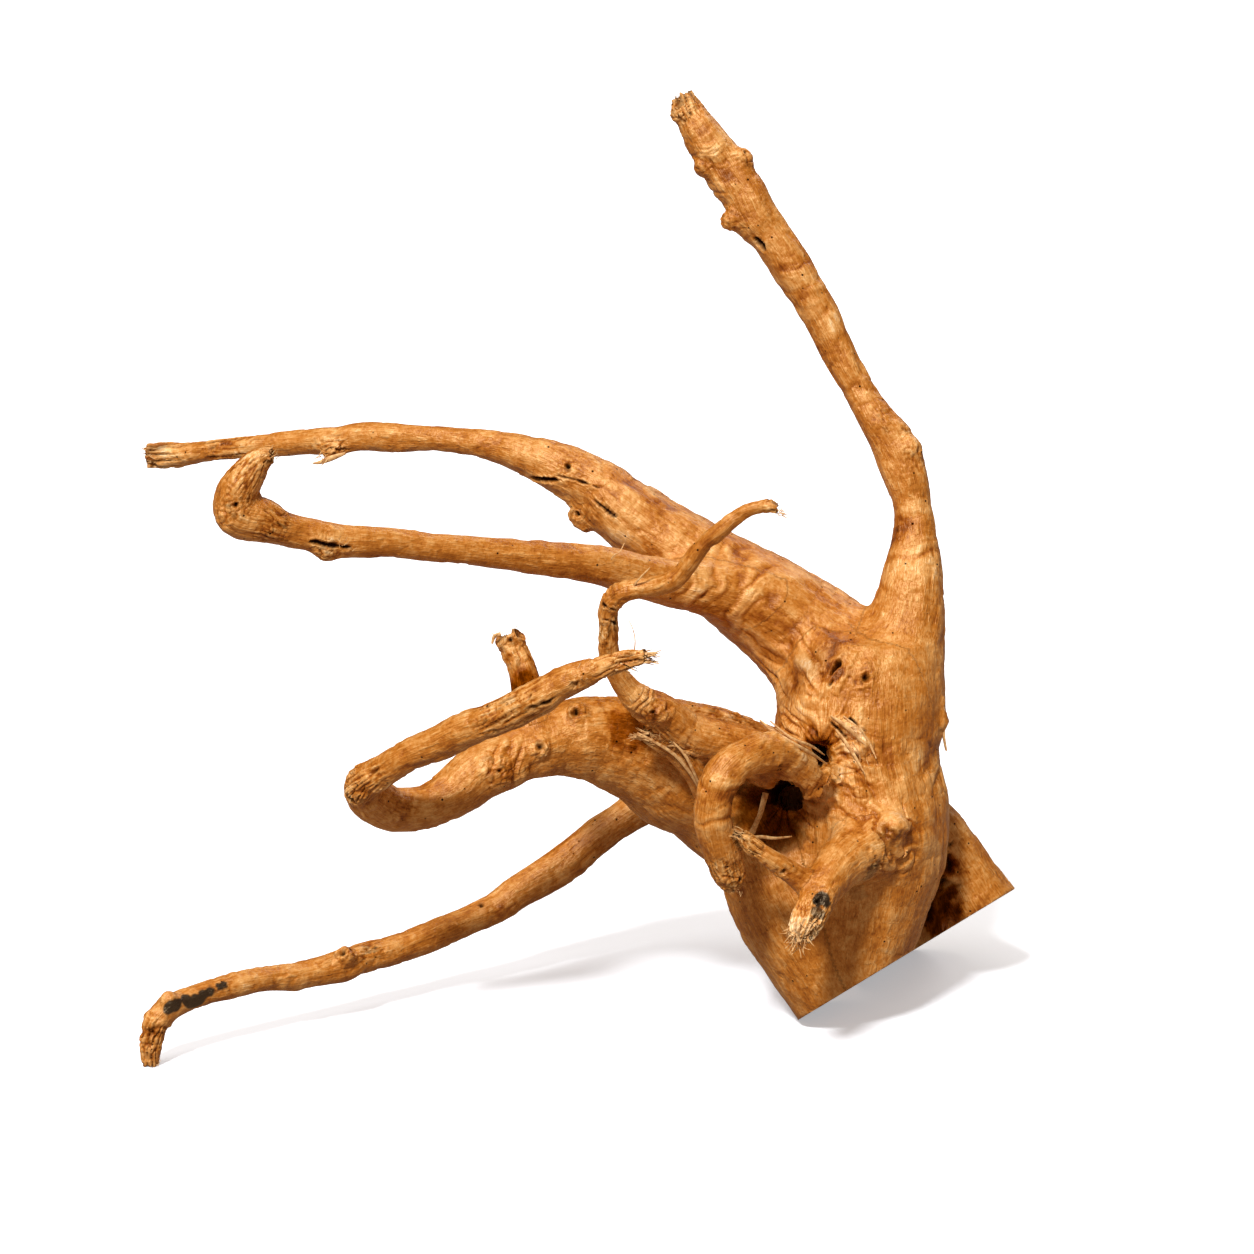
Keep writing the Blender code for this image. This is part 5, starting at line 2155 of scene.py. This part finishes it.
        # Each fibre draws its place in the bunch, its stray from the lean and its turn about itself.
        limits = {"i0": (-1.0, -1.0, -1.0), "i1": (1.0, 1.0, 1.0)}
        draws = []
        for step in range(3):
            seed = add_node(tree, "ShaderNodeMath", i0=given["Seed"], i1=float(step)).outputs[0]
            draws.append(add_node(tree, "FunctionNodeRandomValue", vector, i8=seed, **limits).outputs[0])
        scale = {"operation": "SCALE"}
        offset = add_node(tree, "ShaderNodeVectorMath", scale, i0=draws[0], Scale=read["spread"])
        placed = add_node(tree, "GeometryNodeSetPosition", Geometry=points, Offset=offset.outputs[0])
        stray = add_node(tree, "ShaderNodeVectorMath", scale, i0=draws[1], Scale=read["ragged"])
        way = add_node(tree, "ShaderNodeVectorMath", i0=read["lean"], i1=stray.outputs[0]).outputs[0]
        turn = add_node(tree, "FunctionNodeAlignRotationToVector", {"axis": "Z"}, Vector=way).outputs[0]
        spin = add_node(
            tree, "ShaderNodeVectorMath", {"operation": "MULTIPLY"}, i0=draws[2], i1=(0.0, 0.0, math.pi)
        ).outputs[0]
        spin = add_node(tree, "FunctionNodeEulerToRotation", Euler=spin).outputs[0]
        turn = add_node(
            tree, "FunctionNodeRotateRotation", {"rotation_space": "LOCAL"}, Rotation=turn, Rotate_By=spin
        ).outputs[0]
        part = add_node(tree, "FunctionNodeRandomValue", i2=0.35, i3=1.0, i8=given["Seed"]).outputs[1]
        size = add_node(tree, "ShaderNodeMath", {"operation": "MULTIPLY"}, i0=part, i1=read["length"])
        grown = add_node(
            tree, "GeometryNodeInstanceOnPoints", Points=placed.outputs[0], Instance=self.fibre(tree, given),
            Rotation=turn, Scale=size.outputs[0],
        ).outputs[0]
        self.ended(tree, grown, given["Material"])
        return tree

    @staticmethod
    def fibre(tree: Tree, given: Any) -> Socket:
        """Adds one bent tapering fibre.

        Args:
            tree: The tree that gets it.
            given: The sockets that carry the tree's inputs.

        Returns:
            The fibre, of length 1.
        """
        line = add_node(tree, "GeometryNodeCurvePrimitiveLine", End=(0.0, 0.0, 1.0)).outputs[0]
        line = add_node(tree, "GeometryNodeResampleCurve", Curve=line, Count=5).outputs[0]
        along = add_node(tree, "GeometryNodeSplineParameter").outputs["Factor"]
        bend = add_node(tree, "ShaderNodeMath", {"operation": "POWER"}, i0=along, i1=2.0).outputs[0]
        bend = add_node(tree, "ShaderNodeMath", {"operation": "MULTIPLY"}, i0=bend, i1=0.28).outputs[0]
        offset = add_node(tree, "ShaderNodeCombineXYZ", X=bend).outputs[0]
        line = add_node(tree, "GeometryNodeSetPosition", Geometry=line, Offset=offset).outputs[0]
        taper = add_node(
            tree, "ShaderNodeMath", {"operation": "MULTIPLY_ADD"}, i0=along, i1=-0.75, i2=1.0
        ).outputs[0]
        taper = add_node(tree, "ShaderNodeMath", {"operation": "MULTIPLY"}, i0=taper, i1=given["Slimness"])
        ring = add_node(tree, "GeometryNodeCurvePrimitiveCircle", Resolution=given["Sides"], Radius=1.0)
        feeds = {"Curve": line, "Profile_Curve": ring.outputs[0], "Scale": taper.outputs[0]}
        return add_node(tree, "GeometryNodeCurveToMesh", Fill_Caps=True, **feeds).outputs[0]

    def sliver_tree(self) -> Tree:
        """Builds the tree that gives bent lines a flat tapering body.

        Returns:
            The tree. Its points carry half_width.
        """
        tree, given = self.started("splinters", (
            ("Flatness", "NodeSocketFloat"), ("Sides", "NodeSocketInt"), ("Material", "NodeSocketMaterial"),
        ))
        line = add_node(tree, "GeometryNodeMeshToCurve", Mesh=given["Geometry"]).outputs[0]
        smooth = {"spline_type": "CATMULL_ROM"}
        line = add_node(tree, "GeometryNodeCurveSplineType", smooth, Curve=line).outputs[0]
        line = add_node(tree, "GeometryNodeResampleCurve", Curve=line, Count=16).outputs[0]
        width = add_node(tree, "GeometryNodeInputNamedAttribute", {"data_type": "FLOAT"}, Name="half_width")
        ring = add_node(
            tree, "GeometryNodeCurvePrimitiveCircle", Resolution=given["Sides"], Radius=1.0
        ).outputs[0]
        flat = add_node(tree, "ShaderNodeCombineXYZ", X=given["Flatness"], Y=1.0, Z=1.0).outputs[0]
        ring = add_node(tree, "GeometryNodeTransform", Geometry=ring, Scale=flat).outputs[0]
        feeds = {"Curve": line, "Profile_Curve": ring, "Scale": width.outputs[0]}
        body = add_node(tree, "GeometryNodeCurveToMesh", Fill_Caps=True, **feeds).outputs[0]
        self.ended(tree, body, given["Material"])
        return tree

    @staticmethod
    def grown(name: str, mesh: bpy.types.Mesh, tree: Tree, values: dict[str, Any]) -> bpy.types.Object:
        """Runs a tree on a mesh and keeps what it gives.

        Args:
            name: The piece's name.
            mesh: The points or lines to start from.
            tree: The tree.
            values: A value for each of the tree's named inputs.

        Returns:
            The piece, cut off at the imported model's box.
        """
        obj = linked(name, mesh)
        modifier = obj.modifiers.new(tree.name, "NODES")
        modifier.node_group = tree
        for item in tree.interface.items_tree:
            if item.item_type == "SOCKET" and item.in_out == "INPUT" and item.name in values:
                modifier[item.identifier] = values[item.name]
        apply_modifiers(obj)
        places = np.empty(len(obj.data.vertices) * 3, np.float32)
        obj.data.vertices.foreach_get("co", places)
        places = np.clip(places.reshape(-1, 3), *CAD_BOX)
        obj.data.vertices.foreach_set("co", places.ravel())
        obj.data.update()
        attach(obj, "root")
        LOG.info("%s: %d faces", name, len(obj.data.polygons))
        return obj

    def build(self) -> list[bpy.types.Object]:
        """Builds the tufts and the splinters.

        Returns:
            The two pieces.
        """
        material = self.finish.material()
        bases = [tuft for tuft in self.tufts for _ in range(tuft.count)]
        mesh = bpy.data.meshes.new("torn_fibres")
        mesh.from_pydata([Vector(tuft.place) * MM for tuft in bases], [], [])
        lean = mesh.attributes.new("lean", "FLOAT_VECTOR", "POINT")
        lean.data.foreach_set("vector", np.array([tuft.lean for tuft in bases], np.float32).ravel())
        for key, scale in (("spread", MM), ("length", MM), ("ragged", 1.0)):
            layer = mesh.attributes.new(key, "FLOAT", "POINT")
            sizes = [getattr(tuft, key) * scale for tuft in bases]
            layer.data.foreach_set("value", np.array(sizes, np.float32))
        values = {"Slimness": self.slimness, "Sides": self.sides, "Seed": self.seed, "Material": material}
        tufts = self.grown("torn_fibres", mesh, self.tuft_tree(), values)
        stations = [station for sliver in self.slivers for station in sliver.stations]
        edges = []
        first = 0
        for sliver in self.slivers:
            edges += [(first + i, first + i + 1) for i in range(len(sliver.stations) - 1)]
            first += len(sliver.stations)
        mesh = bpy.data.meshes.new("splinters")
        mesh.from_pydata([Vector(station[:3]) * MM for station in stations], edges, [])
        layer = mesh.attributes.new("half_width", "FLOAT", "POINT")
        layer.data.foreach_set("value", np.array([station[3] * MM for station in stations], np.float32))
        values = {"Flatness": self.flatness, "Sides": self.sliver_sides, "Material": material}
        return [tufts, self.grown("splinters", mesh, self.sliver_tree(), values)]


@dataclass(frozen=True)
class Studio:
    """The floor, the lights and the camera.

    Attributes:
        camera_place: Where the camera stands, in metres.
        camera_target: What it looks at.
        lens: Its focal length, in millimetres.
        sensor: The width of its sensor, in millimetres.
        floor_size: The floor's side, in metres.
        sky: The strength of the even light all round.
        sky_tint: Its colour.
        lights: The softboxes, each with its name, the way to it, its width in degrees and its strength.
        paper: The floor's finish.
    """

    camera_place: tuple = (0.022, -1.3642, 0.5035)
    camera_target: tuple = (0.022, 0.008, 0.1614)
    lens: float = 100.0
    sensor: float = 36.0
    floor_size: float = 40.0
    sky: float = 0.36
    sky_tint: str = "#ffe9d2"
    lights: tuple[tuple, ...] = (
        ("key_light", (-0.34, -0.9, 1.0), 8.0, 3.5),
        ("top_light", (-0.3, -0.2, 1.0), 25.0, 0.9),
        ("back_light", (0.5, 0.9, 0.7), 30.0, 0.6),
    )
    paper: StudioPaper = StudioPaper()

    def build(self) -> None:
        """Builds the studio round the root."""
        scene = bpy.context.scene
        scene.view_settings.view_transform = "Standard"
        mesh = bpy.data.meshes.new("floor")
        sheet = bmesh.new()
        bmesh.ops.create_grid(sheet, x_segments=1, y_segments=1, size=self.floor_size / 2)
        sheet.to_mesh(mesh)
        sheet.free()
        mesh.materials.append(self.paper.material())
        linked("floor", mesh)
        for light in self.lights:
            self.sun(*light)
        world = bpy.data.worlds.new("even_light")
        world.use_nodes = True
        even = world.node_tree.nodes["Background"].inputs
        even["Color"].default_value = colour(self.sky_tint)
        even["Strength"].default_value = self.sky
        world.cycles_visibility.glossy = False
        scene.world = world
        camera = bpy.data.cameras.new("camera")
        camera.lens = self.lens
        camera.sensor_width = self.sensor
        obj = linked("camera", camera)
        obj.location = self.camera_place
        gaze = Vector(self.camera_target) - Vector(self.camera_place)
        obj.rotation_euler = gaze.to_track_quat("-Z", "Y").to_euler()
        scene.camera = obj

    @staticmethod
    def sun(name: str, way: tuple, softness: float, strength: float) -> None:
        """Adds a large far softbox, whose light falls evenly over the whole floor.

        Args:
            name: The light's name.
            way: The direction from the root to the light.
            softness: How wide the light looks from the root, in degrees.
            strength: Its strength.
        """
        lamp = bpy.data.lights.new(name, "SUN")
        lamp.angle = math.radians(softness)
        lamp.energy = strength
        obj = linked(name, lamp)
        obj.location = Vector(way)
        obj.rotation_euler = (-Vector(way)).to_track_quat("-Z", "Y").to_euler()


# Where the one grown skin is parted, so that each shown piece stays light enough to be kept whole.
JOINTS = (
    Joint("tall_arm", ("tall_arm",), (139, 24, 199), (0.02, 0.3, 0.95), 25),
    Joint("long_arms", ("long_arm", "hook_arm"), (55, 24, 182), (-0.85, 0.05, 0.5), 45),
    Joint("lower_branch", ("lower_branch", "snag"), (15, -20, 120), (-0.95, -0.3, 0.1), 32),
    Joint("leg", ("leg",), (36, 54, 74), (-0.97, -0.1, -0.22), 18),
    Joint("stump_foot", (), (122, 0, 84), (0.514, -0.323, -0.794), 110),
    Joint("branch_roots", (), (73, 0, 110), (-1, 0, 0), 120),
    Joint("stump_fork", (), (115, 10, 135), (0, 0, 1), 60),
)


def main() -> None:
    """Builds the root and its studio."""
    logging.basicConfig(level=logging.INFO, format="%(relativeCreated)d ms %(message)s")
    root = Root(Stump(), UpperArms(), LowerLimbs(), Rootlets(), SawCut(), JOINTS, PeeledRootWood())
    for piece in [*root.build(), *Shreds().build()]:
        LOG.info("built %s", piece.name)
    Studio().build()


if __name__ == "__main__":
    main()
